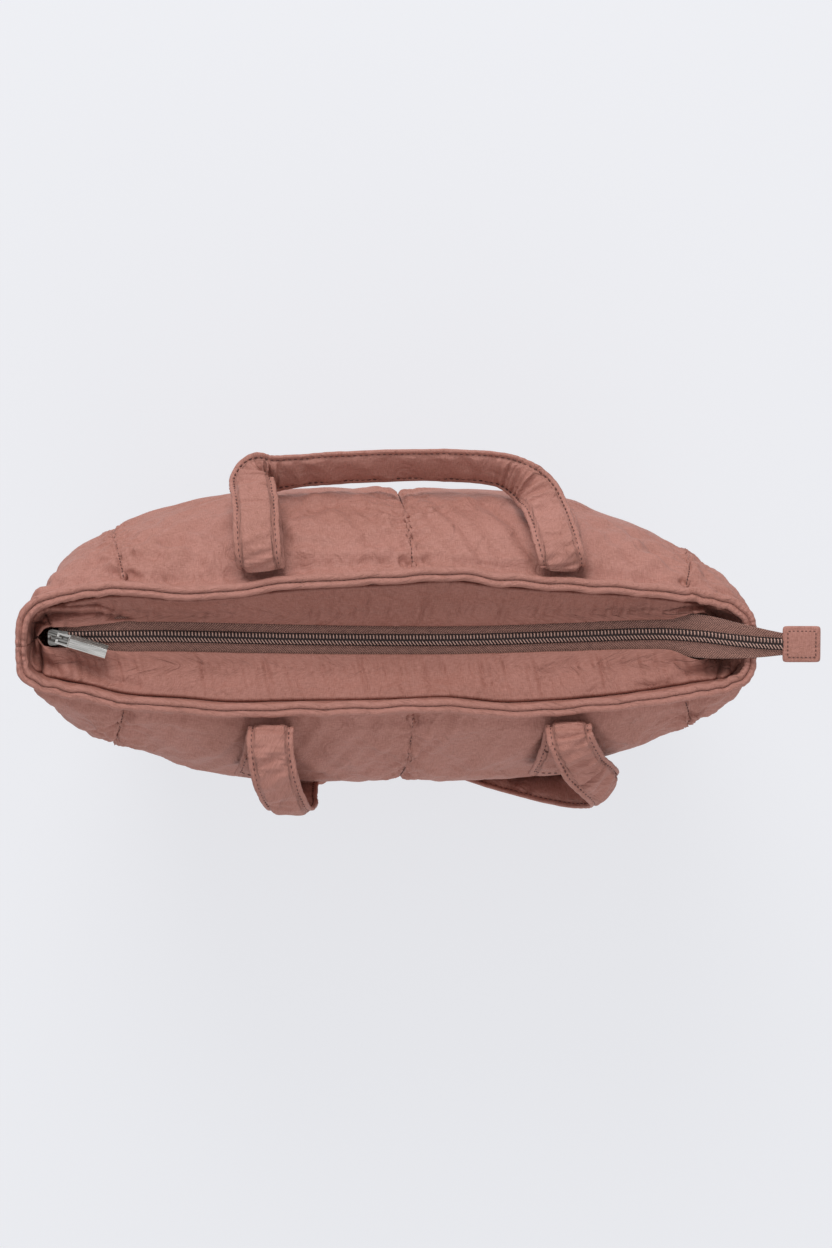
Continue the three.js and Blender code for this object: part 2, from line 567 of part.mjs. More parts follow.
const FLAT = { bevelEnabled: false, curveSegments: 4 };
const coilTop = TAPE_WALL / 2 + CLOTH_GAP + COIL_HEIGHT;
const pinHeight = coilTop + SLIDER_PLAY + SLIDER_PLATE + SLIDER_PLAY + PULL_PIN / 2;
function slider() {
  const [back, front] = [-SLIDER_LENGTH / 2, SLIDER_LENGTH / 2];
  const plate = (z) => {
    const [nose, tail] = [SLIDER_WIDTH / 2, SLIDER_WIDTH * 0.37];
    const outline = new THREE.Shape();
    outline.moveTo(back, -nose * 0.6).quadraticCurveTo(back, -nose, back / 2, -nose).lineTo(front, -tail);
    outline.lineTo(front, tail).lineTo(back / 2, nose).quadraticCurveTo(back, nose, back, nose * 0.6);
    const flat = new THREE.ExtrudeGeometry(outline, { ...FLAT, depth: SLIDER_PLATE });
    return solidOf(flat.translate(0, 0, z));
  };
  const top = -PULL_PIN / 2 - SLIDER_PLAY - SLIDER_PLATE;
  const bottom = -pinHeight - TAPE_WALL / 2 - SLIDER_PLAY - SLIDER_PLATE;
  const post = block(back + 0.6, -SLIDER_PLAY, 2.6, bottom + SLIDER_PLATE / 2, top + SLIDER_PLATE / 2);
  const room = PULL_PIN / 2 + SLIDER_PLAY;
  const [heel, toe, low] = [back + 1.2, room + SLIDER_PLAY, top + SLIDER_PLATE / 2];
  const arch = new THREE.Shape();
  const roof = room + BAIL_WALL;
  arch.moveTo(heel, low).lineTo(heel, 0).quadraticCurveTo(heel, roof, heel + 2, roof);
  arch.lineTo(toe, roof).quadraticCurveTo(toe + BAIL_WALL, roof, toe + BAIL_WALL, room - 0.4);
  arch.lineTo(toe + BAIL_WALL, low).lineTo(toe, low).lineTo(toe, room - 0.4).lineTo(toe - 0.4, room);
  arch.lineTo(heel + 2, room).lineTo(heel + BAIL_WALL, room - 0.8);
  arch.lineTo(heel + BAIL_WALL, low).closePath();
  const bent = new THREE.ExtrudeGeometry(arch, { ...FLAT, depth: BAIL_WIDTH });
  const bail = solidOf(bent.rotateX(Math.PI / 2).translate(0, BAIL_WIDTH / 2, 0));
  return geometryOf(plate(top).add(plate(bottom)).add(post).add(bail));
}

// The pull: an eye whose bar lies under the bail, and a long block with cut corners.
function pull() {
  const [eye, side, pin] = [BAIL_WIDTH / 2 + 1.4, BAIL_WIDTH / 2 + 2.5, PULL_PIN / 2];
  const outline = new THREE.Shape();
  outline.moveTo(-pin, -side).lineTo(pin, -side).lineTo(PULL_NECK + 0.5, -side - 0.4);
  outline.lineTo(PULL_NECK + 0.5, side + 0.4).lineTo(pin, side).lineTo(-pin, side).closePath();
  const hole = new THREE.Path();
  hole.moveTo(pin, -eye).lineTo(pin, eye).lineTo(PULL_NECK - 0.9, eye);
  hole.lineTo(PULL_NECK - 0.9, -eye).closePath();
  outline.holes.push(hole);
  const plate = new THREE.ExtrudeGeometry(outline, { ...FLAT, depth: PULL_PIN });
  const link = solidOf(plate.translate(0, 0, -PULL_PIN / 2));
  const [w, h, cut] = [PULL_WIDTH / 2, PULL_WALL / 2, 0.9];
  const section = new THREE.Shape();
  section.moveTo(-w + cut, -h).lineTo(w - cut, -h).lineTo(w, -h + cut).lineTo(w, h - cut);
  section.lineTo(w - cut, h).lineTo(-w + cut, h).lineTo(-w, h - cut).lineTo(-w, -h + cut).closePath();
  const length = new THREE.ExtrudeGeometry(section, { ...FLAT, depth: PULL_LENGTH });
  length.rotateX(Math.PI / 2).rotateZ(Math.PI / 2).translate(PULL_NECK, 0, 0);
  return geometryOf(link.add(solidOf(length)));
}

const mesh = (name, geometry, colour, roughness, metalness = 0) => {
  const material = new THREE.MeshStandardMaterial({ color: colour, roughness, metalness });
  const made = new THREE.Mesh(geometry, material);
  made.name = name;
  return made;
};

const CLOTH = [0x9c6459, 0.8];
const TAPE = [0x7b5148, 0.9];
const TEETH = [0x5a3a30, 0.55];
const METAL = [0xb9b6b0, 0.28, 1];

const bag = new THREE.Group();
bag.add(mesh('base_panel', base(), ...CLOTH));
for (const [name, side] of [['front', FRONT], ['back', BACK]]) {
  bag.add(mesh(`${name}_left_panel`, panel(side, LEFT), ...CLOTH));
  bag.add(mesh(`${name}_right_panel`, panel(side, RIGHT), ...CLOTH));
  bag.add(mesh(`${name}_facing`, facing(side), ...CLOTH));
  bag.add(mesh(`${name}_zip_tape`, tape(side), ...TAPE));
  bag.add(mesh(`${name}_zip_coil`, coil(side), ...TEETH));
}
bag.add(mesh('rim_binding', rim(), ...CLOTH));
bag.add(mesh('zip_end_tab', tab(), ...CLOTH));
const lying = handle(BACK, BACK_OFFSET, LYING_HANDLE, BACK_REACH, BACK_DROP);
const hanging = handle(FRONT, FRONT_OFFSET, HANGING_HANDLE, FRONT_REACH, FRONT_DROP);
bag.add(mesh('back_handle', lying, ...CLOTH));
bag.add(mesh('front_handle', hanging, ...CLOTH));

const fitting = new THREE.Group();
const seat = zipLine(sliderMiddle);
fitting.position.set(seat.x, seat.y, seat.z + pinHeight);
fitting.add(mesh('zip_slider', slider(), ...METAL));
const hinged = mesh('zip_pull', pull(), ...METAL);
hinged.rotation.z = PULL_YAW;
fitting.add(hinged);
bag.add(fitting);

export default bag;
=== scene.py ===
# A puffer tote bag: quilted nylon on a flat base, a bound rim, a sunken zip closure and two padded handles.
# Metres, +Z up, +X along the mouth, +Y to the back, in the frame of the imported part.
import math

import bmesh
import bpy
import numpy as np
from mathutils import Matrix, Vector


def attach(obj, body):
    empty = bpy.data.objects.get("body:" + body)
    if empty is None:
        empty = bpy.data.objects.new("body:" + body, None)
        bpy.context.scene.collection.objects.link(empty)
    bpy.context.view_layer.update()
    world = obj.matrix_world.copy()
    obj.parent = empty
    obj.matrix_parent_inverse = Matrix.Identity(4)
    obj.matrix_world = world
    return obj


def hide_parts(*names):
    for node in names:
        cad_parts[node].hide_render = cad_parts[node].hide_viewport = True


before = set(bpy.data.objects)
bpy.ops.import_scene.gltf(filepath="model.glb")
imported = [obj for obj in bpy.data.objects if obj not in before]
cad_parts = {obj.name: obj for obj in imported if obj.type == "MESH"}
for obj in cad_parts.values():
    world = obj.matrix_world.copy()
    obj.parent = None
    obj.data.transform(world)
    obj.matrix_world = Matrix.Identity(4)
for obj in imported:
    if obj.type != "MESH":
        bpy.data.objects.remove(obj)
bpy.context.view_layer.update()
scene = bpy.context.scene


# The nylon
# Plain-woven crinkle nylon, dusty rose, with a matt face and slubbed threads both ways. All the bag's cloth
# but the zip's tapes is cut from it. The weave follows the flat cloth, whose size in metres is the UV map.

def linear(code):
    """The linear colour of an sRGB hex value."""
    parts = [int(code[i:i + 2], 16) / 255 for i in (1, 3, 5)]
    return [c / 12.92 if c <= 0.04045 else ((c + 0.055) / 1.055) ** 2.4 for c in parts] + [1.0]


def add(tree, kind, settings=None, inputs=None):
    """A node with its settings, and its inputs by name or number, as constants or other nodes' outputs."""
    node = tree.nodes.new(kind)
    for name, value in (settings or {}).items():
        setattr(node, name, value)
    for name, value in (inputs or {}).items():
        if isinstance(value, bpy.types.NodeSocket):
            tree.links.new(value, node.inputs[name])
        else:
            node.inputs[name].default_value = value
    return node


def surface(name, values):
    """A new material with constants on its shader, its node tree and that shader."""
    material = bpy.data.materials.new(name)
    material.use_nodes = True
    shader = material.node_tree.nodes["Principled BSDF"]
    for key, value in values.items():
        shader.inputs[key].default_value = value
    return material, material.node_tree, shader


def figure(tree, operation, *values):
    return add(tree, "ShaderNodeMath", {"operation": operation}, dict(enumerate(values))).outputs[0]


def noise(tree, place, scale, detail, dimensions="3D", **more):
    inputs = {"Vector": place, "Scale": scale, "Detail": detail, **more}
    return add(tree, "ShaderNodeTexNoise", {"noise_dimensions": dimensions}, inputs).outputs["Fac"]


def relief(tree, height, depth, **under):
    inputs = {"Strength": 1.0, "Distance": depth, "Height": height, **under}
    return add(tree, "ShaderNodeBump", None, inputs).outputs[0]


def tint(tree, shader, tone, dark, light):
    """Colours a surface between two sRGB shades, by a tone from 0 to 1."""
    shades = {0: tone, 6: linear(dark), 7: linear(light)}
    mixed = add(tree, "ShaderNodeMix", {"data_type": "RGBA"}, shades)
    tree.links.new(mixed.outputs[2], shader.inputs["Base Color"])


def flat_cloth(tree):
    return add(tree, "ShaderNodeUVMap", {"uv_map": "cloth"}).outputs[0]


def solid_place(tree):
    return add(tree, "ShaderNodeTexCoord").outputs["Object"]


def threads(tree, flat, along, across, spread):
    """Slubbed threads: a noise drawn out along one way of the cloth, with its grain in metres."""
    scale = (1 / along, 1 / across, 1)
    grain = add(tree, "ShaderNodeVectorMath", {"operation": "MULTIPLY"}, {0: flat, 1: scale})
    return noise(tree, grain.outputs[0], 1.0, 2.0, "2D", Roughness=spread)


def nylon(name, light, dark, crinkle):
    """Crinkle nylon between two colours. Crinkle is the depth of its soft creases, in metres."""
    material, tree, shader = surface(name, {
        "Roughness": 0.66, "Specular IOR Level": 0.35, "Sheen Weight": 0.05, "Sheen Roughness": 0.45,
        "Sheen Tint": linear("#e9cfc8")})
    flat = flat_cloth(tree)
    # The real threads are 0.2 mm apart, too fine to show, so their slubs are drawn 0.6 mm across.
    warp = threads(tree, flat, 0.0042, 0.0006, 0.7)
    weft = threads(tree, flat, 0.0006, 0.0036, 0.7)
    cross = figure(tree, "ADD", warp, weft)
    patch = noise(tree, solid_place(tree), 22.0, 3.0)
    tone = figure(tree, "MULTIPLY_ADD", cross, 0.75, -0.42)
    tint(tree, shader, figure(tree, "MULTIPLY_ADD", patch, 0.35, tone), dark, light)
    crease = noise(tree, flat, 80.0, 3.0, "2D", Roughness=0.5, Distortion=1.0)
    low = relief(tree, crease, crinkle)
    tree.links.new(relief(tree, cross, 0.00012, Normal=low), shader.inputs["Normal"])
    return material


rose_nylon = nylon("crinkle_nylon", "#bd867b", "#895847", 0.0018)
# The facings take a darker copy of it: painted shade for the sunken cloth of the mouth.
nylon_in_painted_shade = nylon("facing_nylon_painted_shade", "#b07a6e", "#7d4c3d", 0.0018)


# The quilted shell
# Front and back are one padded wall each: nylon, a thin filling and a lining, sewn through along three
# upright seams and one level seam at half height. The cloth swells and gathers between the seams.

HEIGHT, LENGTH, MOUTH, BELLY = 0.320, 0.432, 0.076, 0.164
SEAM_WALL, SEAM_RISE, PUFF, GAP, SINK = 0.003, 0.0022, 0.0055, 0.0004, 0.030
RIM_WIDTH, RIM_HEIGHT = 0.0084, 0.0046
FOOT, TOP = 0.0014, HEIGHT - RIM_HEIGHT - GAP
FRONT, BACK = -1, 1

# height | length | shift | depth | squareness
SECTIONS = [
    (0.00, 0.680, -0.005, 0.750, 4.00), (0.03, 0.725, -0.005, 0.830, 3.70),
    (0.10, 0.770, -0.006, 0.880, 3.30), (0.25, 0.825, -0.007, 0.910, 3.00),
    (0.40, 0.865, -0.008, 0.925, 2.85), (0.55, 0.900, -0.008, 0.950, 2.80),
    (0.70, 0.930, -0.007, 1.000, 2.75), (0.80, 0.950, -0.005, 0.955, 2.70),
    (0.88, 0.968, -0.002, 0.845, 2.75), (0.95, 0.988, 0.000, 0.655, 3.30),
    (1.00, 1.000, 0.000, 0.463, 4.20),
]
# height | left seam | middle seam | right seam, as shares of the way round
QUILT_SEAMS = [
    (0.00, 0.185, 0.520, 0.850), (0.10, 0.178, 0.520, 0.860), (0.25, 0.172, 0.520, 0.868),
    (0.40, 0.165, 0.520, 0.875), (0.55, 0.160, 0.520, 0.882), (0.70, 0.158, 0.520, 0.885),
    (0.80, 0.160, 0.523, 0.884), (0.88, 0.164, 0.527, 0.881), (1.00, 0.172, 0.534, 0.874),
]
# share of the way round | front | back | rise: how the rim wanders
RIM_WAVES = [
    (0.00, 0.000, 0.000, 0.00), (0.11, -0.075, -0.010, 0.03), (0.17, -0.035, -0.020, 0.00),
    (0.24, -0.024, -0.085, -0.05), (0.30, 0.000, -0.075, -0.08), (0.37, -0.010, -0.020, -0.10),
    (0.44, -0.020, 0.010, -0.06), (0.52, -0.034, 0.035, -0.03), (0.58, -0.045, 0.060, -0.05),
    (0.65, 0.000, 0.010, -0.10), (0.76, -0.030, -0.026, -0.07), (0.83, -0.060, -0.035, 0.00),
    (0.90, -0.075, -0.030, 0.03), (1.00, 0.000, 0.000, 0.00),
]


def curve(rows, at):
    """The other columns of a table at any values of its first, on smooth curves through its rows."""
    rows = np.asarray(rows, float)
    key, value = rows[:, 0], rows[:, 1:]
    before, after = np.r_[0, 0:len(key) - 1], np.r_[1:len(key), len(key) - 1]
    slope = (value[after] - value[before]) / (key[after] - key[before])[:, None]
    at = np.clip(np.asarray(at, float), key[0], key[-1])
    i = np.clip(np.searchsorted(key, at) - 1, 0, len(key) - 2)
    step = (key[i + 1] - key[i])[..., None]
    t = (at - key[i])[..., None] / step
    rise, m0, m1 = value[i + 1] - value[i], slope[i] * step, slope[i + 1] * step
    return value[i] + t * (m0 + t * (3 * rise - 2 * m0 - m1 + t * (m0 + m1 - 2 * rise)))


def ease(at, low, high):
    t = np.clip((np.asarray(at, float) - low) / (high - low), 0, 1)
    return t * t * (3 - 2 * t)


def unit(way):
    return way / np.maximum(np.linalg.norm(way, axis=-1, keepdims=True), 1e-12)


def level_sections(rows=201, steps=801):
    """Half of the lining's outline at each height, evenly spaced along the cloth."""
    form = np.empty((rows, steps, 2))
    angle = np.linspace(0, math.pi, 721)
    for row, height in enumerate(np.linspace(0, 1, rows)):
        length, shift, depth, square = curve(SECTIONS, height)
        mouth = 1 + (MOUTH / (SECTIONS[-1][3] * BELLY) - 1) * ease(height, 0.8, 1)
        x = -length * LENGTH / 2 * np.sign(np.cos(angle)) * np.abs(np.cos(angle)) ** (2 / square)
        y = depth * BELLY / 2 * mouth * np.abs(np.sin(angle)) ** (2 / square)
        along = np.r_[0, np.hypot(np.diff(x), np.diff(y)).cumsum()]
        even = np.linspace(0, along[-1], steps)
        form[row] = np.stack([np.interp(even, along, x) + shift * LENGTH, np.interp(even, along, y)], axis=1)
    return form


FORM = level_sections()


def lining(side, share, height):
    """A point of the lining, by the share of the way round from the left and of the way up."""
    side, share, height = np.broadcast_arrays(side, np.clip(share, 0, 1), np.clip(height, 0, 1))
    rows, steps = FORM.shape[0] - 1, FORM.shape[1] - 1
    i = np.minimum((height * rows).astype(int), rows - 1)
    j = np.minimum((share * steps).astype(int), steps - 1)
    up, on = (height * rows - i)[..., None], (share * steps - j)[..., None]
    low = FORM[i, j] * (1 - on) + FORM[i, j + 1] * on
    flat = low * (1 - up) + (FORM[i + 1, j] * (1 - on) + FORM[i + 1, j + 1] * on) * up
    waves, near = curve(RIM_WAVES, share), ease(height, 0.8, 1)
    y = flat[..., 1] + np.where(side < 0, waves[..., 0], waves[..., 1]) * MOUTH * near
    z = FOOT + (TOP - FOOT) * height + waves[..., 2] * SINK * near
    return np.stack([flat[..., 0], side * y, z], axis=-1)


def outward(side, share, height):
    """The way out of the bag at a point of the lining."""
    d = 0.004
    side, share, height = np.broadcast_arrays(side, np.asarray(share, float), np.asarray(height, float))
    low, high = np.maximum(height - d, 0), np.minimum(height + d, 1)
    along = lining(side, np.minimum(share + d, 1), height) - lining(side, np.maximum(share - d, 0), height)
    up = lining(side, share, high) - lining(side, share, low)
    ends = np.stack([share * 0, np.where(share > 0.5, -side, side), share * 0], axis=-1)
    along = np.where(((share < 1e-6) | (share > 1 - 1e-6))[..., None], ends, along)
    return unit(-side[..., None] * np.cross(along, up))


def quilt_share(place, height):
    """The share of the way round at a place in the quilting: 1, 2 and 3 are seams, 0 and 4 the sides."""
    place, height = np.broadcast_arrays(np.asarray(place, float), np.asarray(height, float))
    seams = curve(QUILT_SEAMS, height)
    seams = np.concatenate([seams[..., :1] * 0, seams, seams[..., :1] * 0 + 1], axis=-1)
    square = np.minimum(place.astype(int), 3)[..., None]
    low = np.take_along_axis(seams, square, -1)[..., 0]
    high = np.take_along_axis(seams, square + 1, -1)[..., 0]
    return low + (high - low) * (place - square[..., 0])


def crown(place):
    """How full the padding is across a quilted square: 0 at its seams and 1 in its middle."""
    return np.abs(np.sin(math.pi * place)) ** 0.6


def quilted(side, place, height, puff):
    """A point on the outer cloth of the shell, with the padding at a share of its full swell."""
    share = quilt_share(place, height)
    square = np.array([0.55, 1, 1, 0.55])[np.minimum(np.asarray(place).astype(int), 3)]
    seam_wall = SEAM_WALL + SEAM_RISE * ease(height, 0, 0.08) * (1 - ease(height, 0.88, 1))
    wall = seam_wall + PUFF * puff * square * crown(place) * crown(np.asarray(height) * 2)
    out = outward(side, share, height)
    out[..., 2] *= ease(height, 0, 0.06) * (1 - ease(height, 0.8, 1))
    point = lining(side, share, height) + unit(out) * wall[..., None]
    point[..., 1] += side * GAP / 2
    return point


def made(name, bm):
    """A piece of the scene from a bmesh, which is freed."""
    mesh = bpy.data.meshes.new(name)
    bm.to_mesh(mesh)
    bm.free()
    piece = bpy.data.objects.new(name, mesh)
    scene.collection.objects.link(piece)
    return piece


def woven(name, across, up, place, flip=False, weld=False):
    """A grid of cloth with every point put in its place, and its flat size as a UV map. Weld closes it."""
    bm = bmesh.new()
    bmesh.ops.create_grid(bm, x_segments=across, y_segments=up, size=0.5)
    flat = np.array([v.co[:2] for v in bm.verts]) + 0.5
    order = np.lexsort((flat[:, 0].round(5), flat[:, 1].round(5)))
    points = place(flat[order, 0], flat[order, 1])
    rows = points.reshape(up + 1, across + 1, 3)
    run, climb = np.zeros(rows.shape[:2]), np.zeros(rows.shape[:2])
    run[:, 1:] = np.linalg.norm(np.diff(rows, axis=1), axis=2).cumsum(axis=1)
    climb[1:] = np.linalg.norm(np.diff(rows, axis=0), axis=2).cumsum(axis=0)
    run -= run[:, across // 2][:, None]
    spot = np.stack([run.ravel(), climb.ravel()], axis=1)
    rank = np.argsort(order)
    keys = [bm.verts.layers.float.new(key) for key in ("along", "around")]
    layer = bm.loops.layers.uv.new("cloth")
    for v in bm.verts:
        v[keys[0]], v[keys[1]] = flat[v.index]
        v.co = points[rank[v.index]]
    for face in bm.faces:
        face.smooth = True
        for loop in face.loops:
            loop[layer].uv = spot[rank[loop.vert.index]]
    if weld:
        bmesh.ops.remove_doubles(bm, verts=bm.verts, dist=2e-6)
        bmesh.ops.recalc_face_normals(bm, faces=bm.faces)
    elif flip:
        bmesh.ops.reverse_faces(bm, faces=bm.faces)
    return made(name, bm)


def map_level(piece):
    """Lays the weave of a flat piece straight along the bag."""
    flat = piece.data.uv_layers["cloth"].data
    for loop in piece.data.loops:
        flat[loop.index].uv = piece.data.vertices[loop.vertex_index].co[:2]


def places(piece):
    """Each vertex's place along and around its cloth, from 0 to 1."""
    count = len(piece.data.vertices)
    found = []
    for key in ("along", "around"):
        values = np.empty(count, np.float32)
        piece.data.attributes[key].data.foreach_get("value", values)
        found.append(values.astype(float))
    return found


def three_each(values, key):
    """The vectors that a mesh holds under a key, one row for each vertex."""
    found = np.empty(len(values) * 3, np.float32)
    values.foreach_get(key, found)
    return found.reshape(-1, 3).astype(float)


def points_of(mesh):
    return three_each(mesh.vertices, "co")


def outs_of(mesh):
    return three_each(mesh.vertex_normals, "vector")


def move(piece, points):
    piece.data.vertices.foreach_set("co", points.astype(np.float32).ravel())
    piece.data.update()


def swell(pieces, sewn, pressure, slack, most, frames=20):
    """Lets padded cloth swell and gather between its sewn points. No point moves more than most metres."""
    starts = [points_of(piece.data) for piece in pieces]
    for piece, held in zip(pieces, sewn):
        group = piece.vertex_groups.new(name="sewn")
        group.add([int(i) for i in np.flatnonzero(held)], 1.0, "REPLACE")
        cloth = piece.modifiers.new("cloth", "CLOTH")
        work = cloth.settings
        work.quality, work.mass, work.air_damping = 6, 0.12, 4.0
        work.tension_stiffness = work.compression_stiffness = 18.0
        work.shear_stiffness, work.bending_stiffness = 6.0, 0.04
        work.use_pressure, work.uniform_pressure_force = True, pressure
        work.shrink_min = -slack
        work.vertex_group_mass, work.pin_stiffness = "sewn", 1.0
        work.effector_weights.gravity = 0.0
        cloth.collision_settings.use_collision = False
        cloth.collision_settings.use_self_collision = False
        cloth.point_cache.frame_start, cloth.point_cache.frame_end = 1, frames
    for step in range(1, frames + 1):
        scene.frame_set(step)
    graph = bpy.context.evaluated_depsgraph_get()
    ends = [points_of(piece.evaluated_get(graph).data) for piece in pieces]
    scene.frame_set(1)
    for piece, start, end in zip(pieces, starts, ends):
        piece.modifiers.clear()
        piece.vertex_groups.clear()
        way = end - start
        far = np.linalg.norm(way, axis=1, keepdims=True)
        move(piece, start + way * np.tanh(far / most) * most / np.maximum(far, 1e-9))


def ripples(at, spacing, seed, count=7):
    """A smooth uneven wave from -1 to 1 along a length, its crests about one spacing apart."""
    rng = np.random.default_rng(seed)
    at = np.asarray(at, float)
    total = sum(np.sin(2 * math.pi * at / spacing * f + p)
                for f, p in zip(rng.uniform(0.55, 1.5, count), rng.uniform(0, 2 * math.pi, count)))
    return total / math.sqrt(count)


def finished(piece, material, body="bag"):
    """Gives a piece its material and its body."""
    piece.data.materials.append(material)
    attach(piece, body)
    return piece


def stitched(name, rows, material, pitch=0.0029, dash=0.0020, thick=0.0009):
    """Rows of stitches as one piece. A row is its line's points and the way out of the cloth at each."""
    bm = bmesh.new()
    for points, outs in rows:
        far = np.r_[0, np.linalg.norm(np.diff(points, axis=0), axis=1).cumsum()]
        count = max(int(far[-1] / pitch), 1)
        for middle in (np.arange(count) + 0.5) * far[-1] / count:
            start, end = (np.array([np.interp(at, far, points[:, k]) for k in range(3)])
                          for at in (middle - dash / 2, middle + dash / 2))
            out = np.array([np.interp(middle, far, outs[:, k]) for k in range(3)])
            way = unit(end - start)
            over = unit(np.cross(out, way))
            frame_at = Matrix((way * dash / 2, over * thick / 2, np.cross(way, over) * thick / 2))
            spot = frame_at.transposed().to_4x4()
            spot.translation = Vector((start + end) / 2)
            bmesh.ops.create_icosphere(bm, subdivisions=1, radius=1.0, matrix=spot)
    bmesh.ops.recalc_face_normals(bm, faces=bm.faces)
    for face in bm.faces:
        face.smooth = True
    return finished(made(name, bm), material)


def spun(name, light, dark):
    """Sewing thread drawn darker than the cloth, painted shade in its stitch holes, with a fine random
    speckle.
    """
    material, tree, shader = surface(name, {"Roughness": 0.6})
    tint(tree, shader, noise(tree, solid_place(tree), 2600.0, 2.0), dark, light)
    return material


# Lower is the share of the rows below the level seam, and outer that of the columns outside a side seam.
COLUMNS, ROWS, LOWER, OUTER = 250, 200, 0.35, 0.18
SHELL_PUFF = 0.4
# Soft folds: along the mouth and up the bag, from and to, then width and height, all in metres.
FOLDS = {
    FRONT: [
        (-0.066, 0.300, -0.034, 0.262, 0.0045, 0.0013), (-0.088, 0.300, -0.125, 0.268, 0.0050, 0.0013),
        (-0.078, 0.298, -0.080, 0.255, 0.0035, 0.0010), (0.095, 0.302, 0.055, 0.270, 0.0045, 0.0012),
        (0.125, 0.302, 0.160, 0.272, 0.0045, 0.0013), (-0.180, 0.303, -0.150, 0.270, 0.0040, 0.0012),
        (0.028, 0.302, 0.012, 0.280, 0.0035, 0.0009), (-0.018, 0.302, 0.006, 0.285, 0.0030, 0.0009),
        (0.185, 0.300, 0.175, 0.265, 0.0035, 0.0012), (-0.140, 0.304, -0.110, 0.300, 0.0030, 0.0008),
    ],
    BACK: [
        (-0.058, 0.297, 0.000, 0.304, 0.0030, 0.0014), (-0.056, 0.288, -0.020, 0.296, 0.0040, 0.0013),
        (-0.058, 0.280, -0.035, 0.284, 0.0040, 0.0010), (-0.092, 0.300, -0.140, 0.290, 0.0040, 0.0013),
        (-0.100, 0.290, -0.130, 0.276, 0.0050, 0.0010), (0.122, 0.300, 0.150, 0.284, 0.0040, 0.0012),
        (0.084, 0.302, 0.040, 0.305, 0.0030, 0.0010), (-0.165, 0.303, -0.140, 0.282, 0.0035, 0.0013),
        (0.175, 0.302, 0.150, 0.291, 0.0035, 0.0012), (0.006, 0.270, 0.008, 0.298, 0.0030, -0.0006),
    ],
}


def ridges(x, y, rows):
    """The height of soft ridges and dents: each row has two ends, a width and a height."""
    total = np.zeros(np.shape(x))
    for x0, y0, x1, y1, width, height in rows:
        way = np.array([x1 - x0, y1 - y0])
        on = np.clip(((x - x0) * way[0] + (y - y0) * way[1]) / max(way @ way, 1e-12), 0, 1)
        off = np.hypot(x - x0 - on * way[0], y - y0 - on * way[1])
        total += height * np.exp(-(off / width) ** 2)
    return total


def gathers(side, u, v, points):
    """How far the cloth stands off its swell: puckers across the seams, soft waves, folds from the feet."""
    place = spread(u)
    seam = np.round(place)
    width = np.where((place > 1) & (place < 3), 0.18, 0.08)
    off = np.abs(place - seam) * width
    up = points[:, 2]
    out = up * 0
    for k in range(5):
        near = (seam == k) * np.exp(-(off / 0.012) ** 1.2) * ease(off, 0.0, 0.003)
        out += 0.0015 * near * ripples(up + 0.3 * off, 0.0066, 40 + 5 * side + k)
    waves = ripples(points[:, 0] * 0.5 + up, 0.031, 60 + side) * ripples(points[:, 0], 0.07, 62 + side)
    out += (0.0005 + 0.0006 * ease(up, 0.24, 0.28)) * waves
    out += 0.0009 * ripples(points[:, 0] - 0.7 * up, 0.017, 64 + side) * ease(up, 0.22, 0.28)
    level = (v - LOWER) * 0.3
    beside_level = np.exp(-(level / 0.012) ** 2) * ease(np.abs(level), 0, 0.004)
    out += 0.0007 * beside_level * ripples(points[:, 0], 0.008, 66)
    out += 2.1 * ridges(points[:, 0], up, FOLDS[side])
    groove = (seam > 0) * (seam < 4) * np.exp(-(off / 0.0022) ** 2) * 0.0006
    return out * ease(off, 0.0, 0.003) - groove


def spread(u):
    """The columns of the shell's cloth are closer together beside its seams."""
    place = np.interp(u, [0, OUTER, 0.5, 1 - OUTER, 1], [0, 1, 2, 3, 4])
    return place - 0.09 * np.sin(2 * math.pi * place)


def climb(v):
    """The rows of the shell's cloth are closer together above its level seam."""
    return np.interp(v, [0, LOWER, 1], [0, 0.5, 1])


shells = []
for name, side in (("front_shell", FRONT), ("back_shell", BACK)):
    shells.append(woven(name, COLUMNS, ROWS, flip=side == BACK,
                        place=lambda u, v, side=side: quilted(side, spread(u), climb(v), SHELL_PUFF)))
seams = []
for shell in shells:
    u, v = places(shell)
    level = (v < 1e-4) | (v > 1 - 1e-4) | (np.abs(v - LOWER) < 1e-4)
    seams.append((np.abs(spread(u) - np.round(spread(u))) < 1e-3) | level)
swell(shells, seams, pressure=4.0, slack=0.05, most=0.0022)
for shell, side in zip(shells, (FRONT, BACK)):
    u, v = places(shell)
    points, outs = points_of(shell.data), outs_of(shell.data)
    edge = ease(v, 0, 0.02) * (1 - ease(v, 0.975, 1))
    under_rim = 0.0022 * np.exp(-((v - 0.977) / 0.010) ** 2)
    move(shell, points + outs * (gathers(side, u, v, points) * edge - under_rim)[:, None])
    wall = shell.modifiers.new("wall", "SOLIDIFY")
    wall.thickness, wall.offset, wall.use_rim = 0.0022, -1, True
    finished(shell, rose_nylon)
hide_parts("front_left_panel", "front_right_panel")
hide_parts("back_left_panel", "back_right_panel")

# The thread is drawn darker than the cloth: painted shade for the holes and grooves of the stitches.
thread_in_painted_shade = spun("spun_polyester_painted_shade", "#70473e", "#4a2c26")
rows = []
for side in (FRONT, BACK):
    heights = np.linspace(0.01, 0.985, 240)
    for seam in (1, 2, 3):
        out = outward(side, quilt_share(seam, heights), heights)
        rows.append((quilted(side, np.full(240, float(seam)), heights, 0.0) - out * 0.0003, out))
    across = np.linspace(0.02, 3.98, 400)
    level = np.full(400, 0.5)
    rows.append((quilted(side, across, level, 0.0), outward(side, quilt_share(across, level), level)))
stitched("quilt_stitches", rows, thread_in_painted_shade, pitch=0.0032, dash=0.0022)


# The base
# A flat oval pad of the same nylon, sewn to the foot of the shell all the way round. The filling lifts its
# upper face a little, and the bag stands on it.

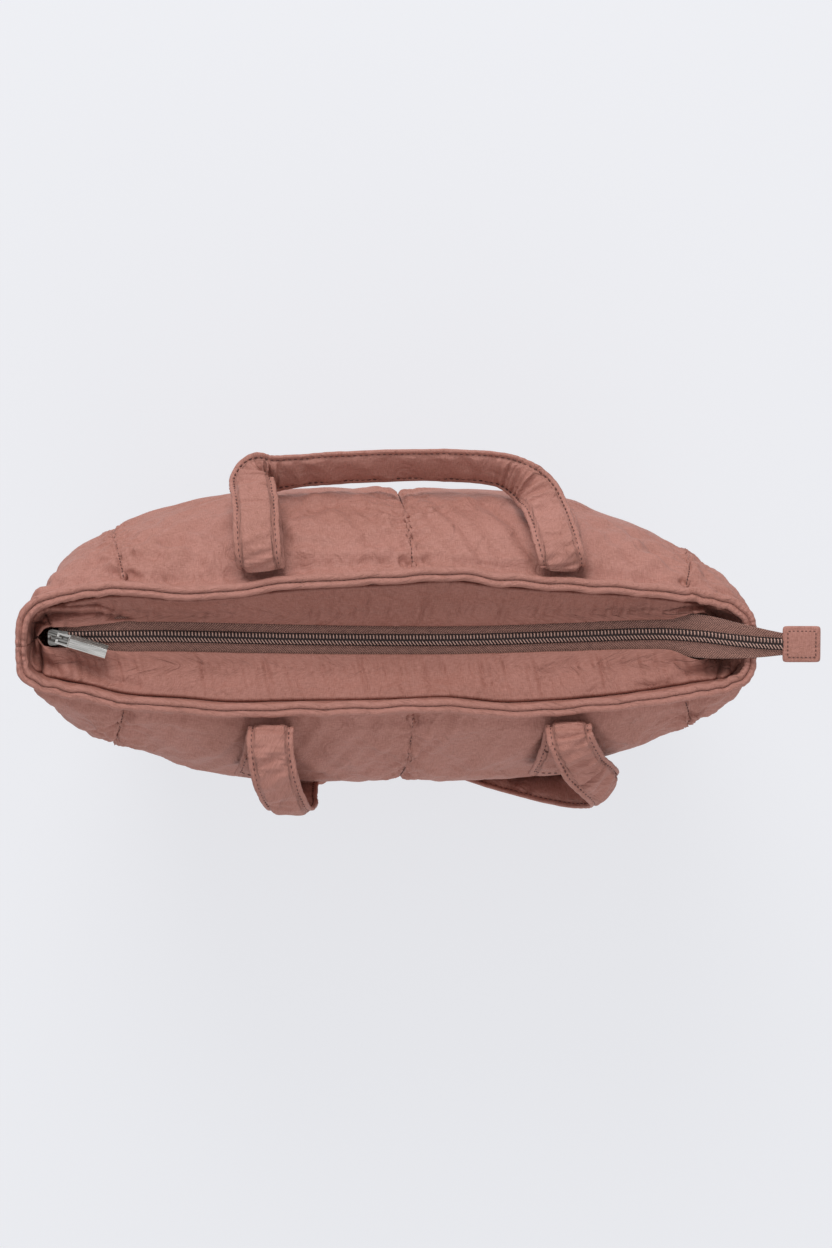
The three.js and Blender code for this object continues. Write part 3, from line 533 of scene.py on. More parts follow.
def round_bag(u):
    """The side and the place in the quilting at a share of the whole way round the bag."""
    return np.where(u < 0.5, FRONT, BACK), np.where(u < 0.5, 8 * u, 8 * (1 - u))


def base_place(u, v):
    side, place = round_bag(u)
    edge = lining(side, quilt_share(place, 0), 0)
    level, scale = curve(BASE_SECTION, v).T
    ring = edge[:, :2] * (scale - (v > 0.2) * (v < 0.8) * (GAP / 0.08))[:, None]
    return np.stack([ring[:, 0], ring[:, 1], level], axis=1)


# around the section | level | reach: from the middle of the top, over the edge, to the underside's middle
BASE_SECTION = [
    (0.00, 0.0090, 0.000), (0.20, 0.0092, 0.600), (0.32, 0.0090, 0.900), (0.40, 0.0080, 0.960),
    (0.47, 0.0050, 0.985), (0.53, 0.0022, 0.985), (0.58, 0.0004, 0.972), (0.64, 0.0000, 0.945),
    (0.72, 0.0000, 0.880), (0.86, 0.0000, 0.500), (1.00, 0.0000, 0.000),
]
base = woven("base_pad", 320, 40, base_place, weld=True)
map_level(base)
finished(base, rose_nylon)
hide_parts("base_panel")


# The rim
# The shell's and the facings' edges are turned in together and topstitched, which leaves two soft rolls with
# the stitched groove between them. They pucker at the stitches and bunch up at the rim's two ends.

def rim_place(u, v):
    side, place = round_bag(u)
    share = quilt_share(place, 1)
    angle = 2 * math.pi * v
    across, high = np.cos(angle), np.sin(angle)
    middle, out = lining(side, share, 1), outward(side, share, 1)
    out[:, 2] = 0
    out = unit(out)
    around = u * 0.98
    ends = 1 - ease(np.minimum(share, 1 - share), 0.0, 0.055)
    rolls = np.sqrt(np.clip(1 - (np.abs(np.abs(across) - 0.5) / 0.5) ** 2, 0, 1))
    pucker = np.where(across > 0, ripples(around, 0.0062, 11), ripples(around, 0.0074, 12))
    deep = 0.12 + np.where(across < 0, 0.22, 0.06) * ends
    tuck = 0.35 * np.exp(-((middle[:, 0] - 0.1809) / 0.0010) ** 2) * (side > 0) * (across > 0)
    top = np.where(high > 0, 0.05 + 0.95 * rolls * (1 + deep * pucker - tuck), -np.abs(high))
    wander = 0.0004 * ripples(around, 0.03, 13) * (1 - 0.8 * ends)
    reach = across * (1 + 0.03 * ripples(around, 0.009, 15) * np.sign(across)) * (1 - 0.2 * ends)
    point = middle + out * (SEAM_WALL / 4 + wander + reach * RIM_WIDTH / 2)[:, None]
    bunch = 0.0005 * ends * ripples(around + 0.002 * across, 0.012, 16)
    point[:, 2] += GAP + RIM_HEIGHT / 2 * (1 + top) + bunch
    return point


rim = woven("rim_rolls", 900, 40, rim_place, weld=True)
finished(rim, rose_nylon)
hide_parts("rim_binding")
around = (np.arange(1200) + 0.5) / 1200
groove = rim_place(around, np.full(1200, 0.25)) - [0, 0, 0.0001]
stitched("rim_stitches", [(groove, np.tile([0.0, 0.0, 1.0], (1200, 1)))], thread_in_painted_shade)


# The facings
# One strip of nylon from each side of the rim down to the zip, sewn down beside the teeth. Each hangs slack
# with soft drag lines, and its ends fold in under the turns of the rim.

ZIP_VISIBLE, FACING_WALL, TAPE_WALL = 0.0185, 0.0014, 0.0010
# along | across | sink, as shares of half the mouth's length, half its depth, and the sink
ZIP_LINE = [
    (-0.96, 0.13, 0.42), (-0.91, 0.13, 0.42), (-0.86, 0.13, 0.42), (-0.78, 0.13, 0.53), (-0.60, 0.12, 0.78),
    (-0.20, 0.06, 1.00), (0.20, 0.05, 1.00), (0.55, 0.12, 0.84), (0.75, 0.17, 0.58), (0.87, 0.15, 0.22),
    (0.95, 0.11, -0.05), (1.03, 0.07, -0.12), (1.09, 0.05, -0.10),
]
# along | spread | under: where a facing's inner edge runs beside the zip, and how far it dips below the tape
FACING_EDGE = [
    (-0.962, 0.00, 0.12), (-0.94, 0.55, 0.00), (-0.85, 0.66, 0.00), (-0.78, 0.84, 0.00), (-0.70, 1.00, 0.00),
    (0.78, 1.00, 0.00), (0.845, 1.50, 0.00), (0.88, 1.52, 0.30), (0.91, 0.90, 0.65), (0.94, 0.00, 0.80),
]


# Folds and pockets at the facings' ends: along the mouth and across it, from and to, then width and height.
FACING_FOLDS = {
    FRONT: [
        (-0.207, 0.008, -0.206, -0.017, 0.0016, -0.0075), (-0.206, 0.008, -0.1985, 0.005, 0.0012, -0.005),
        (-0.201, -0.006, -0.190, -0.016, 0.0035, 0.003), (-0.186, -0.010, -0.170, -0.019, 0.0035, -0.0028),
        (-0.164, -0.022, -0.148, -0.024, 0.003, -0.0022), (-0.198, -0.020, -0.180, -0.026, 0.0022, -0.003),
        (0.206, -0.009, 0.197, -0.025, 0.0022, 0.0045), (0.201, -0.013, 0.195, -0.026, 0.0015, -0.005),
        (0.211, -0.012, 0.202, -0.026, 0.0014, -0.005), (0.186, -0.004, 0.204, -0.008, 0.003, -0.007),
        (0.178, -0.014, 0.160, -0.021, 0.004, 0.0016), (0.170, -0.024, 0.150, -0.026, 0.0025, -0.0016),
    ],
    BACK: [
        (-0.199, 0.0255, -0.193, 0.0265, 0.0022, -0.007), (-0.199, 0.0215, -0.172, 0.0225, 0.0013, 0.0028),
        (-0.172, 0.0225, -0.163, 0.0195, 0.0013, 0.0024), (-0.199, 0.0185, -0.170, 0.0195, 0.0016, -0.0022),
        (-0.164, 0.0185, -0.154, 0.014, 0.004, -0.005), (-0.211, 0.013, -0.204, 0.0125, 0.0011, -0.004),
        (-0.204, 0.018, -0.200, 0.011, 0.0012, -0.004), (-0.208, 0.020, -0.203, 0.023, 0.002, 0.003),
        (0.185, 0.019, 0.199, 0.0235, 0.0018, 0.0035), (0.198, 0.0235, 0.210, 0.020, 0.0026, 0.0065),
        (0.196, 0.027, 0.206, 0.0275, 0.0018, -0.0045), (0.214, 0.023, 0.215, 0.015, 0.0016, -0.007),
        (0.170, 0.015, 0.186, 0.016, 0.0022, -0.002),
    ],
}


def zip_line(x):
    across, sink = np.moveaxis(curve(ZIP_LINE, x / (LENGTH / 2)), -1, 0)
    return np.stack([x, across * MOUTH / 2, HEIGHT - sink * SINK], axis=-1)


def facing_place(side, u, v):
    share = quilt_share(u * 4, 1)
    outer = lining(side, share, 1)
    out = outward(side, share, 1)
    out[:, 2] = 0
    outer -= unit(out) * (GAP + FACING_WALL / 2)
    outer[:, 1] += side * GAP / 2
    outer[:, 2] += 0.0006
    along = np.clip(outer[:, 0] / (LENGTH / 2), FACING_EDGE[0][0], FACING_EDGE[-1][0])
    spread, under = curve(FACING_EDGE, along).T
    inner = zip_line(along * LENGTH / 2)
    inner[:, 1] += side * (GAP + FACING_WALL + spread * (ZIP_VISIBLE - GAP - FACING_WALL)) / 2
    inner[:, 2] += TAPE_WALL / 2 + 2 * GAP + FACING_WALL / 2 - under * SINK
    point = outer + (inner - outer) * v[:, None]
    ends = 1 - ease(np.minimum(share, 1 - share), 0.02, 0.16)
    point[:, 2] -= np.sin(math.pi * v) ** 2 * SINK * (0.1 + 0.3 * ends)
    middle = np.sin(math.pi * v)
    drag = ripples(point[:, 0] - side * 0.012 * v, 0.017, 21 + side) * 0.0005
    drag += ripples(point[:, 0] + side * 0.02 * v, 0.046, 24 + side) * 0.0012
    point[:, 2] += drag * middle
    point[:, 2] += ends * middle * 0.0010 * ripples(point[:, 0] + 0.4 * point[:, 1], 0.014, 27 + side)
    fine = ripples(point[:, 0] - side * 0.25 * point[:, 1], 0.0062, 31 + side)
    point[:, 2] += fine * middle * 0.00036 * (1 + 2.0 * ease(v, 0.5, 0.8))
    far = np.linalg.norm(inner - outer, axis=1) * v
    # A groove runs beside the rim, with a wider, shallow dip under it.
    point[:, 2] -= 0.0065 * np.exp(-((far - 0.0030) / 0.0012) ** 2)
    point[:, 2] -= 0.0016 * np.exp(-((far - 0.006) / 0.004) ** 2)
    folds = ridges(point[:, 0], point[:, 1], FACING_FOLDS[side])
    point[:, 2] += folds * ease(v, 0, 0.14) * (1 - ease(v, 0.9, 1))
    return point


for name, side in (("front_facing_cloth", FRONT), ("back_facing_cloth", BACK)):
    facing = woven(name, 560, 56, lambda u, v, side=side: facing_place(side, u, v), flip=side == BACK)
    facing.data.flip_normals()
    wall = facing.modifiers.new("wall", "SOLIDIFY")
    wall.thickness, wall.offset = 0.0008, -1
    # The facings take the darker copy of the nylon: painted shade.
    finished(facing, nylon_in_painted_shade)
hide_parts("front_facing")
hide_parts("back_facing")
rows = []
for side in (FRONT, BACK):
    line = facing_place(side, np.linspace(0.045, 0.945, 500), np.full(500, 0.965))
    rows.append((line + [0, 0, 0.0003], np.tile([0.0, 0.0, 1.0], (500, 1))))
stitched("zip_stitches", rows, thread_in_painted_shade)


# The zip's tapes
# Two polyester tapes in a fine herringbone, a shade browner than the nylon, sewn under the facings' edges.
# They narrow where they run under the slider and into the end tab.

def herringbone(name, light, dark):
    """Herringbone tape: diagonal ribs that turn every few millimetres across the tape."""
    material, tree, shader = surface(name, {"Roughness": 0.8, "Sheen Weight": 0.15})
    flat = flat_cloth(tree)
    spot = add(tree, "ShaderNodeSeparateXYZ", None, {0: flat}).outputs
    # The ribs are drawn 1.5 mm apart, for a real 1 mm, so that they show.
    slope = figure(tree, "ADD", spot[0], figure(tree, "PINGPONG", spot[1], 0.0040))
    rib = figure(tree, "SINE", figure(tree, "MULTIPLY", slope, 2 * math.pi / 0.0015))
    ribbed = figure(tree, "MULTIPLY_ADD", rib, 0.42, 0.5)
    fuzz = threads(tree, flat, 0.004, 0.0008, 0.6)
    tint(tree, shader, figure(tree, "SUBTRACT", figure(tree, "ADD", fuzz, ribbed), 0.50), dark, light)
    tree.links.new(relief(tree, rib, 0.00022), shader.inputs["Normal"])
    return material


tape_cloth = herringbone("herringbone_polyester", "#aa7b6c", "#5e3c34")
TAPE_WIDTH = 0.013
# along | width, as a share of one tape's full width
TAPE_EDGE = [(-0.91, 0.5), (-0.82, 0.6), (-0.7, 1.0), (0.0, 1.0), (0.86, 1.0), (0.97, 0.8), (1.09, 0.5)]
SLIDER_X, TAB_X = -0.905 * LENGTH / 2, 1.085 * LENGTH / 2
# The tapes and the teeth end inside the tab.
ZIP_END = TAB_X + 0.0012


def tape_place(side, u, v):
    point = zip_line(SLIDER_X + (ZIP_END - SLIDER_X) * u)
    width = TAPE_WIDTH * curve(TAPE_EDGE, point[:, 0] / (LENGTH / 2))[:, 0]
    point[:, 1] += side * (GAP / 2 + (width - GAP / 2) * v)
    point[:, 2] += TAPE_WALL / 2
    return point


for name, side in (("front_tape_cloth", FRONT), ("back_tape_cloth", BACK)):
    tape = woven(name, 300, 12, lambda u, v, side=side: tape_place(side, u, v), flip=side == FRONT)
    wall = tape.modifiers.new("wall", "SOLIDIFY")
    wall.thickness, wall.offset = TAPE_WALL, -1
    finished(tape, tape_cloth)
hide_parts("front_zip_tape")
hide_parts("back_zip_tape")


# The zip's teeth
# Two coils of nylon monofilament, one along each tape's inner edge, wound round a filler cord and sewn
# down with a line of thread. The filler cord is drawn wide and near black, painted shade between and under
# the turns, and each sewing line is real thread drawn near black as a painted shadow beside its coil. Their
# turns are drawn 2 mm apart, for a real 1.5 mm, so that they show.

def satin(name, light, dark, roughness):
    material, tree, shader = surface(name, {"Roughness": roughness, "Specular IOR Level": 0.6})
    tint(tree, shader, noise(tree, solid_place(tree), 900.0, 2.0), dark, light)
    return material


coil_nylon = satin("monofilament_nylon", "#cfaa9c", "#a07b6d", 0.35)
# Near black: the filler cord and the sewing lines paint the shade between and beside the turns.
cord_in_painted_shade = satin("dark_cord_painted_shade", "#2e1b18", "#201210", 0.8)
TURN, FILAMENT, COIL_REACH, COIL_RISE = 0.0020, 0.00040, 0.0010, 0.00078
COIL_OFF, COIL_LEVEL = 0.00180, GAP + 0.00105
# Each coil's filler cord and sewing line: name | off the middle | level | half width | half height
RODS = [("_filler", 0.00140, 0.0011, 0.00150, 0.00050), ("_sewing", 0.0033, 0.00015, 0.00034, 0.0003)]
turns = int((TAB_X - SLIDER_X) / TURN)


def beside_zip(side, u, off, rise):
    line = zip_line(SLIDER_X + (ZIP_END - SLIDER_X) * u)
    line[:, 1] += side * off
    line[:, 2] += TAPE_WALL / 2 + rise
    return line


def coil_place(side, u, v):
    angle, round_it = 2 * math.pi * u * turns, 2 * math.pi * v
    middle = beside_zip(side, u, COIL_OFF, COIL_LEVEL)
    ring = np.stack([u * 0, np.cos(angle) * COIL_REACH, np.sin(angle) * COIL_RISE], axis=1)
    out = unit(ring / np.array([1, COIL_REACH, COIL_RISE]) ** 2)
    point = middle + ring + out * (FILAMENT * np.cos(round_it))[:, None]
    point[:, 0] += side * 0.00035 * np.cos(angle) + FILAMENT * np.sin(round_it)
    return point


def rod_place(side, off, rise, wide, high, u, v):
    point = beside_zip(side, u, off, rise)
    point[:, 1] += wide * np.cos(2 * math.pi * v)
    point[:, 2] += high * np.sin(2 * math.pi * v)
    return point


for name, side in (("front_coil", FRONT), ("back_coil", BACK)):
    coil = woven(name + "_turns", turns * 10, 5, lambda u, v, side=side: coil_place(side, u, v), weld=True)
    finished(coil, coil_nylon)
    for part, *size in RODS:
        rod = woven(name + part, 240, 12, weld=True,
                    place=lambda u, v, side=side, size=size: rod_place(side, *size, u, v))
        finished(rod, cord_in_painted_shade)
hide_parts("front_zip_coil")
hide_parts("back_zip_coil")


# The end tab
# A folded square of nylon over the zip's free end, topstitched round its edge.

TAB_LENGTH, TAB_WIDTH, TAB_WALL, TAB_LEVEL, TAB_HEM = 0.0225, 0.0215, 0.0036, 0.00115, 0.003
TAB_START = zip_line(np.array([TAB_X]))[0] + np.array([GAP, 0, TAB_LEVEL])


def tab_place(u, v):
    angle = 2 * math.pi * v
    power = 0.16
    x = np.sign(np.cos(angle)) * np.abs(np.cos(angle)) ** power
    y = np.sign(np.sin(angle)) * np.abs(np.sin(angle)) ** power
    level = np.sin(math.pi * (u - 0.5))
    shrink = np.cos(math.pi * (u - 0.5)) ** 0.35
    groove = 1 - 0.25 * np.exp(-((shrink - 0.8) / 0.06) ** 2)
    offset = [TAB_LENGTH / 2 * (1 + x * shrink), TAB_WIDTH / 2 * y * shrink, TAB_WALL / 2 * level * groove]
    return TAB_START + np.stack(offset, axis=1)


tab = woven("end_tab_cloth", 40, 96, tab_place, weld=True)
map_level(tab)
finished(tab, rose_nylon)
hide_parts("zip_end_tab")
corner = np.linspace(0, 2 * math.pi, 160)
square = np.stack([np.cos(corner), np.sin(corner)], axis=1)
square /= np.maximum(np.abs(square[:, :1]), np.abs(square[:, 1:]))
square *= [TAB_LENGTH / 2 - TAB_HEM, TAB_WIDTH / 2 - TAB_HEM]
border = TAB_START + [TAB_LENGTH / 2, 0, TAB_WALL * 0.40] + np.c_[square, np.zeros(160)]
rows = [(border, np.tile([0.0, 0.0, 1.0], (160, 1)))]
stitched("tab_stitches", rows, thread_in_painted_shade, pitch=0.0024, dash=0.0017)


# The handles
# Padded straps of nylon, topstitched 3 mm in from each edge, with feet that are sewn to the shell below the
# rim. The back strap has flopped over outwards, and the front strap hangs down in a slack loop.

STRAP_WIDTH, STRAP_LENGTH, HANDLE_SPAN, SEWN_LENGTH, SEWN_PAD = 0.028, 0.44, 0.178, 0.042, 0.35
# A strap's thickness where it is sewn flat and where it is padded, the top of its feet as a share of the
# bag's height, and how full the shell's padding is under them.
STRAP_FLAT, STRAP_WALL, FEET_TOP, FOOT_PUFF = 0.0024, 0.0074, 0.98, 0.6
FOOT_LEAN = {FRONT: 0.010, BACK: 0.005}
# across | out | up | the way that the outer face looks: along the mouth, out and up
LYING = [
    (-1.01, 0, 0.068, 0, 0.8, -0.6), (-1.02, 0.08, 0.127, 0, 0.25, -0.97),
    (-1.03, 0.23, 0.133, 0, -0.2, -0.98), (-1.04, 0.41, 0.05, 0, -0.5, -0.87),
    (-1.05, 0.58, -0.12, 0, -0.72, -0.69), (-1.07, 0.715, -0.3, 0, -0.75, -0.66),
    (-1.09, 0.83, -0.5, 0.1, -0.55, -0.83), (-1.05, 0.87, -0.595, 0.25, 0.05, -0.97),
    (-0.96, 0.88, -0.635, 0.15, 0.55, -0.82), (-0.77, 0.91, -0.66, 0, 0.69, -0.72),
    (-0.46, 0.94, -0.675, 0, 0.7, -0.7), (0.03, 0.96, -0.675, 0, 0.72, -0.7),
    (0.38, 0.945, -0.66, 0, 0.7, -0.72), (0.6, 0.905, -0.62, -0.05, 0.62, -0.78),
    (0.75, 0.8, -0.54, -0.15, 0.42, -0.9), (0.86, 0.65, -0.395, -0.15, 0, -1),
    (0.92, 0.47, -0.195, -0.08, -0.38, -0.92), (0.96, 0.28, 0.005, -0.03, -0.3, -0.95),
    (0.99, 0.11, 0.118, 0, 0.2, -0.97), (1.01, 0, 0.068, 0, 0.8, -0.6),
]
HANGING = [
    (-1.00, 0.04, 0.05, 0.00, 0.80, -0.60), (-1.00, 0.15, 0.085, 0.00, 0.20, -0.98),
    (-0.99, 0.35, 0.08, 0.00, -0.05, -1.00), (-0.965, 0.60, 0.045, 0.00, -0.35, -0.94),
    (-0.93, 0.83, -0.05, 0.00, -0.75, -0.66), (-0.89, 1.02, -0.20, 0.00, -0.97, -0.20),
    (-0.86, 1.04, -0.38, 0.00, -1.00, 0.00), (-0.87, 0.98, -0.60, 0.00, -0.99, -0.14),
    (-0.86, 0.88, -0.80, 0.00, -1.00, 0.00), (-0.74, 0.83, -0.99, 0.00, -1.00, 0.00),
    (-0.50, 0.76, -1.10, 0.00, -1.00, 0.00),
    (-0.20, 0.735, -1.13, 0.00, -1.00, 0.05), (0.15, 0.75, -1.06, 0.00, -1.00, 0.12),
    (0.48, 0.83, -0.83, 0.00, -0.95, 0.30), (0.78, 0.90, -0.70, -0.10, -0.85, 0.50),
    (1.05, 0.94, -0.56, -0.30, -0.75, 0.55), (1.22, 0.91, -0.43, -0.65, -0.65, 0.20),
    (1.27, 0.84, -0.30, -0.75, -0.50, -0.40), (1.22, 0.71, -0.16, -0.60, -0.40, -0.70),
    (1.12, 0.52, -0.03, -0.35, -0.35, -0.87), (1.05, 0.30, 0.06, -0.10, -0.15, -0.98),
    (1.01, 0.13, 0.085, 0.00, 0.20, -0.98), (1.00, 0.04, 0.05, 0.00, 0.80, -0.60),
]
# share across from the middle | half the thickness where it is padded | where it is sewn flat
STRAP_SECTION = [
    (0.00, 0.00340, 0.00150), (0.12, 0.00338, 0.00150), (0.22, 0.00315, 0.00145), (0.30, 0.00250, 0.00135),
    (0.34, 0.00165, 0.00120), (0.365, 0.00085, 0.00085), (0.385, 0.00055, 0.00055), (0.41, 0.00100, 0.00100),
    (0.44, 0.00110, 0.00110), (0.475, 0.00100, 0.00100), (0.492, 0.00070, 0.00070), (0.50, 0.00000, 0.00000),
]


def foot(side, x, lean):
    """Four places up the face of the shell, where one end of a handle is sewn."""
    rows = []
    off = 2 * GAP + (STRAP_FLAT + (STRAP_WALL - STRAP_FLAT) * SEWN_PAD) / 2 + 0.0005
    places_across = np.linspace(0, 4, 2001)
    for height in np.linspace(FEET_TOP - SEWN_LENGTH / HEIGHT, FEET_TOP, 4):
        xs = quilted(side, places_across, np.full(2001, height), FOOT_PUFF)[:, 0]
        place = np.interp(x - lean * (FEET_TOP - height) * HEIGHT / SEWN_LENGTH, xs, places_across)
        out = outward(side, quilt_share(place, height), height)
        point = quilted(side, np.array([place]), np.array([height]), FOOT_PUFF)[0] + out * off
        rows.append([*point, *out, SEWN_PAD])
    return rows


def handle_route(side, offset, table, reach, rise):
    """A strap's whole way from foot to foot: step | place | the way out | how far it is padded."""
    feet = [foot(side, offset + end * HANDLE_SPAN / 2, FOOT_LEAN[side]) for end in (-1, 1)]
    rows = list(feet[0])
    for across, out, up, *face in table:
        end = min(max((across + 1) / 2, 0), 1)
        start = [feet[0][-1][k] * (1 - end) + feet[1][-1][k] * end for k in range(3)]
        rows.append([offset + across * HANDLE_SPAN / 2, start[1] + side * out * reach, start[2] + up * rise,
                     face[0], side * face[1], face[2], 1.0])
    rows += feet[1][::-1]
    return [(i, *row) for i, row in enumerate(rows)]


def on_strap(route, u):
    """The middle, the way across, the way out and the padding of a strap at shares of its length."""
    last = len(route) - 1
    at = curve(route, u * last)
    ahead = curve(route, np.minimum(u + 0.001, 1) * last)
    behind = curve(route, np.maximum(u - 0.001, 0) * last)
    way = unit(ahead[:, :3] - behind[:, :3])
    across = unit(np.cross(at[:, 3:6], way))
    return at[:, :3], across, np.cross(way, across), at[:, 6]


def bend_of(route, u):
    """How sharply a strap turns in its own plane or twists, at shares of its length, in radians a metre."""
    d = 0.012
    ahead, behind = on_strap(route, np.minimum(u + d, 1)), on_strap(route, np.maximum(u - d, 0))
    return np.linalg.norm(ahead[1] - behind[1], axis=1) / (2 * d * STRAP_LENGTH)


def strap_place(route, u, v):
    middle, across, out, pad = on_strap(route, u)
    face = np.where(v < 0.5, 1, -1)
    over = np.where(v < 0.5, 4 * v - 1, 3 - 4 * v) / 2
    over = np.sign(over) * (np.abs(over) * 0.55 + 0.45 * 0.5 * np.sin(math.pi * np.abs(over)))
    padded, sewn = curve(STRAP_SECTION, np.abs(over)).T
    wall = (sewn + (padded - sewn) * np.clip(pad, 0, 1)) * face
    along = u * STRAP_LENGTH
    tight = np.clip(bend_of(route, u) / 28, 0, 1) * np.clip(pad, 0, 1)
    quilted_part = 1 - ease(np.abs(over), 0.30, 0.375)
    drag = ripples(along + 0.010 * over * face, 0.0125, 71) * 0.00045
    crimp = ripples(along + 0.004 * over, 0.0062, 73) * 0.0015 * tight
    wall += (drag * np.clip(pad, 0, 1) + crimp) * quilted_part * face
    edge = 1 + 0.012 * ripples(along, 0.021, 75) * (np.abs(over) > 0.39) + 0.008 * ripples(along, 0.0056, 76)
    return middle + across * (over * edge * STRAP_WIDTH)[:, None] + out * wall[:, None]


straps, routes = [], []
for name, side, offset, table, reach, rise in (
    ("front_strap", FRONT, 0.020, HANGING, 0.050, 0.130),
    ("back_strap", BACK, 0.0153, LYING, 0.060, 0.075),
):
    routes.append(handle_route(side, offset, table, reach, rise))
    straps.append(woven(name, 420, 56, lambda u, v, route=routes[-1]: strap_place(route, u, v), weld=True))
sewn = []
for strap in straps:
    u, v = places(strap)
    over = np.abs(np.where(v < 0.5, 4 * v - 1, 3 - 4 * v))
    sewn.append((over > 0.66) | (u < 0.02) | (u > 0.98))
swell(straps, sewn, pressure=4.0, slack=0.05, most=0.0007)
for strap in straps:
    finished(strap, rose_nylon)
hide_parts("front_handle")
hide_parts("back_handle")

# Where the two rows of stitching run round a strap's section, on its outer side and then on its inner side.
SEWN_AT = (0.075, 0.425, 0.575, 0.925)
rows = []
for route in routes:
    u = np.linspace(0.008, 0.992, 700)
    out = on_strap(route, u)[2]
    for v in SEWN_AT:
        rows.append((strap_place(route, u, np.full(700, v)), out if v < 0.5 else -out))
    for spot in (0.012, 0.062, 0.938, 0.988):
        v = np.linspace(SEWN_AT[0], SEWN_AT[1], 60)
        u_box = np.full(60, spot)
        rows.append((strap_place(route, u_box, v), on_strap(route, u_box)[2]))
stitched("strap_stitches", rows, thread_in_painted_shade, pitch=0.0036, dash=0.0026, thick=0.0012)


# The metal slider and its pull
# Die-cast zinc in polished nickel: a slider body with a bail, and a long block pull that swings on it. The
# slider and the facet along the pull's back edge take a darker, rougher copy of the nickel: painted shade and
# painted dark reflection.

PULL_YAW = math.radians(-17)


def plated(name, light, dark, roughness):
    """Nickel with scuffs in its polish and fine brushed lines along the pull, between two colours."""
    material, tree, shader = surface(name, {"Metallic": 1.0})
    solid = solid_place(tree)
    scuff = {0: noise(tree, solid, 700.0, 4.0), 3: roughness * 0.8, 4: roughness * 1.4}
    tree.links.new(add(tree, "ShaderNodeMapRange", None, scuff).outputs[0], shader.inputs["Roughness"])
    turned = add(tree, "ShaderNodeMapping", None, {0: solid, "Rotation": (0, 0, -PULL_YAW)}).outputs[0]
    brushed = add(tree, "ShaderNodeVectorMath", {"operation": "MULTIPLY"}, {0: turned, 1: (60, 1300, 1300)})
    lines = {0: noise(tree, brushed.outputs[0], 1.0, 2.0), 1: 0.35, 2: 0.65}
    tint(tree, shader, add(tree, "ShaderNodeMapRange", None, lines).outputs[0], dark, light)
    return material


nickel = plated("polished_nickel", "#e6e2dc", "#b0ada8", 0.16)
# A darker, rougher copy of the nickel: painted shade and painted dark reflection.
nickel_in_painted_shade = plated("nickel_in_painted_shade", "#a8a5a0", "#55524e", 0.22)
PULL_NECK, PULL_WIDTH, PULL_WALL, PIN_LEVEL = 0.0074, 0.0086, 0.0032, 0.00645
PIN = Vector(zip_line(np.array([SLIDER_X]))[0]) + Vector((0, 0, PIN_LEVEL))
lie = Matrix.Translation(PIN) @ Matrix.Rotation(PULL_YAW, 4, "Z")
# The slider body takes the darker nickel: painted shade and painted dark reflection.
for name, node, body, metal, round_edge in (
    ("slider_body", "zip_slider", "bag", nickel_in_painted_shade, 0.0004),
    ("pull_block", "zip_pull", "pull", nickel, 0.0003),
):
    bm = bmesh.new()
    bm.from_mesh(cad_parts[node].data)
    bmesh.ops.remove_doubles(bm, verts=bm.verts, dist=1e-6)
    bmesh.ops.dissolve_limit(bm, angle_limit=math.radians(2), verts=bm.verts, edges=bm.edges)
    if body == "pull":
        bmesh.ops.transform(bm, matrix=lie.inverted(), verts=bm.verts)
        # The block's back edge is cut to a slanting facet.
        for v in bm.verts:
            if v.co.x > PULL_NECK - 0.0001 and v.co.y > PULL_WIDTH * 0.38:
                if v.co.z > PULL_WALL * 0.45:
                    v.co.y -= 0.0016
                elif v.co.z > 0:
                    v.co.z -= 0.0014
        bm.normal_update()
        # Faces that look back, the facet's among them, take the darker nickel as a painted dark reflection.
        for face in bm.faces:
            face.material_index = int(face.normal.y > 0.4)
        bmesh.ops.transform(bm, matrix=lie, verts=bm.verts)
    piece = made(name, bm)
    edge = piece.modifiers.new("edge", "BEVEL")
    edge.width, edge.segments = round_edge, 3
    edge.limit_method, edge.angle_limit = "ANGLE", math.radians(30)
    finished(piece, metal, body)
    if body == "pull":
        piece.data.materials.append(nickel_in_painted_shade)
    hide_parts(node)


# The studio
# A plain pale floor that glows by itself, which leaves only a faint shadow on it, and a wide soft light from
# the back and above. The surround is bright overhead and dimmer low down, which gives the metal its contrast.

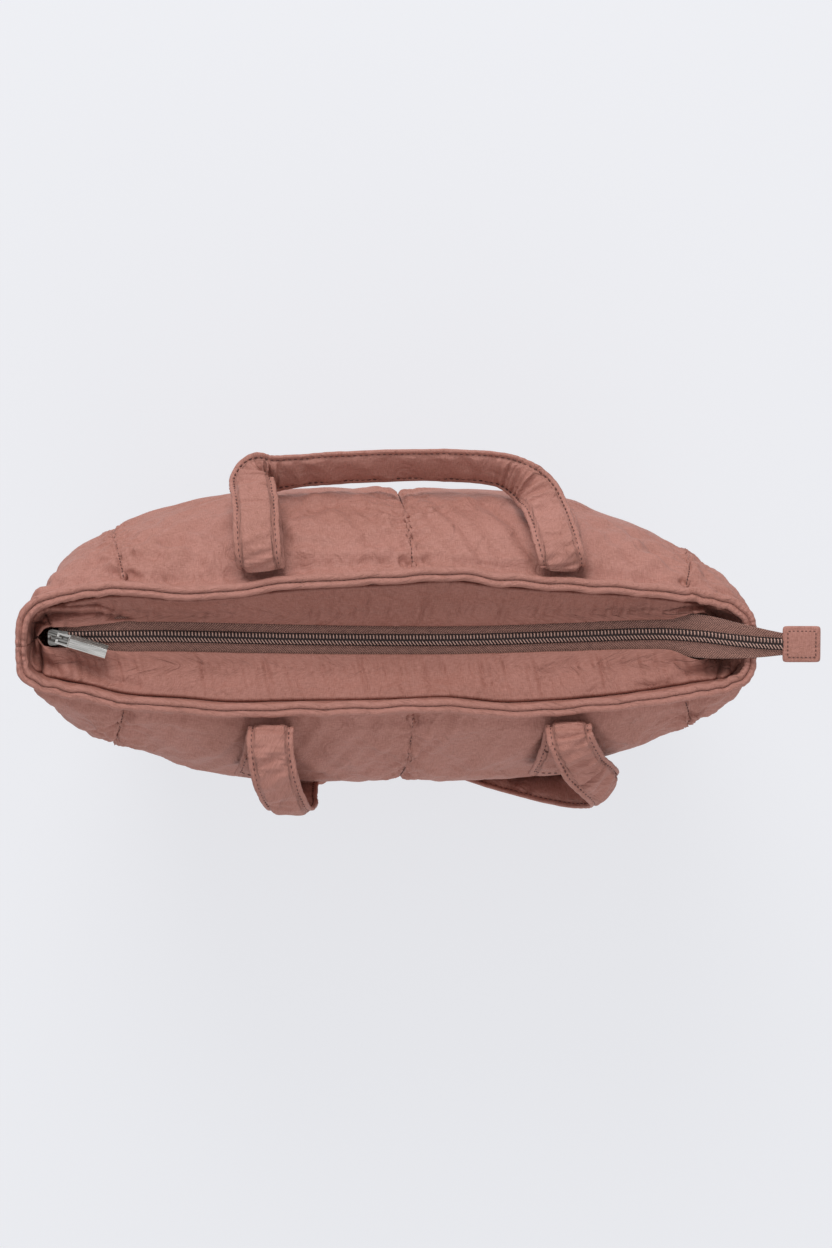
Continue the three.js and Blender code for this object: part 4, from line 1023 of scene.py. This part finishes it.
def plain(name, colour, glow):
    """A matt colour that gives off a share of its light by itself."""
    tone = linear(colour)
    return surface(name, {
        "Base Color": [c * (1 - glow) for c in tone[:3]] + [1.0],
        "Roughness": 0.95, "Specular IOR Level": 0.0,
        "Emission Color": tone, "Emission Strength": glow})[0]


bm = bmesh.new()
bmesh.ops.create_grid(bm, x_segments=1, y_segments=1, size=20)
floor = made("floor", bm)
floor.data.materials.append(plain("matt_floor", "#ebecf0", 0.80))

scene.world = bpy.data.worlds.new("surround")
scene.world.use_nodes = True
tree = scene.world.node_tree
sky = add(tree, "ShaderNodeTexCoord").outputs["Generated"]
high = add(tree, "ShaderNodeSeparateXYZ", None, {0: sky}).outputs[2]
strength = {0: high, 1: 0.1, 2: 0.8, 3: 0.30, 4: 0.84}
level = add(tree, "ShaderNodeMapRange", {"interpolation_type": "SMOOTHSTEP"}, strength)
surround = tree.nodes["Background"]
surround.inputs["Color"].default_value = linear("#eef0f4")
tree.links.new(level.outputs[0], surround.inputs["Strength"])
scene.view_settings.view_transform = "Standard"

for name, place, aim, size, power in (
    ("key", (-0.3, 1.8, 1.5), (0, 0, 0.2), 1.4, 34),
    ("fill", (0.5, -1.6, 1.2), (0, 0, 0.2), 1.8, 9),
):
    lamp = bpy.data.lights.new(name, "AREA")
    lamp.shape, lamp.size, lamp.energy = "DISK", size, power
    light = bpy.data.objects.new(name, lamp)
    light.location = place
    light.rotation_euler = (Vector(aim) - Vector(place)).to_track_quat("-Z", "Y").to_euler()
    scene.collection.objects.link(light)

# The camera looks down from over the mouth, with the back of the bag at the top of the picture.
lens = bpy.data.cameras.new("camera")
lens.sensor_width, lens.lens = 36, 92.66
camera = bpy.data.objects.new("camera", lens)
eye, aim = Vector((0.0178, 0.150, 2.220)), Vector((0.0178, 0.0136, 0.320))
back = (eye - aim).normalized()
right = Vector((1, 0, 0))
camera.matrix_world = Matrix((right, back.cross(right), back)).transposed().to_4x4()
camera.location = eye
scene.collection.objects.link(camera)
scene.camera = camera
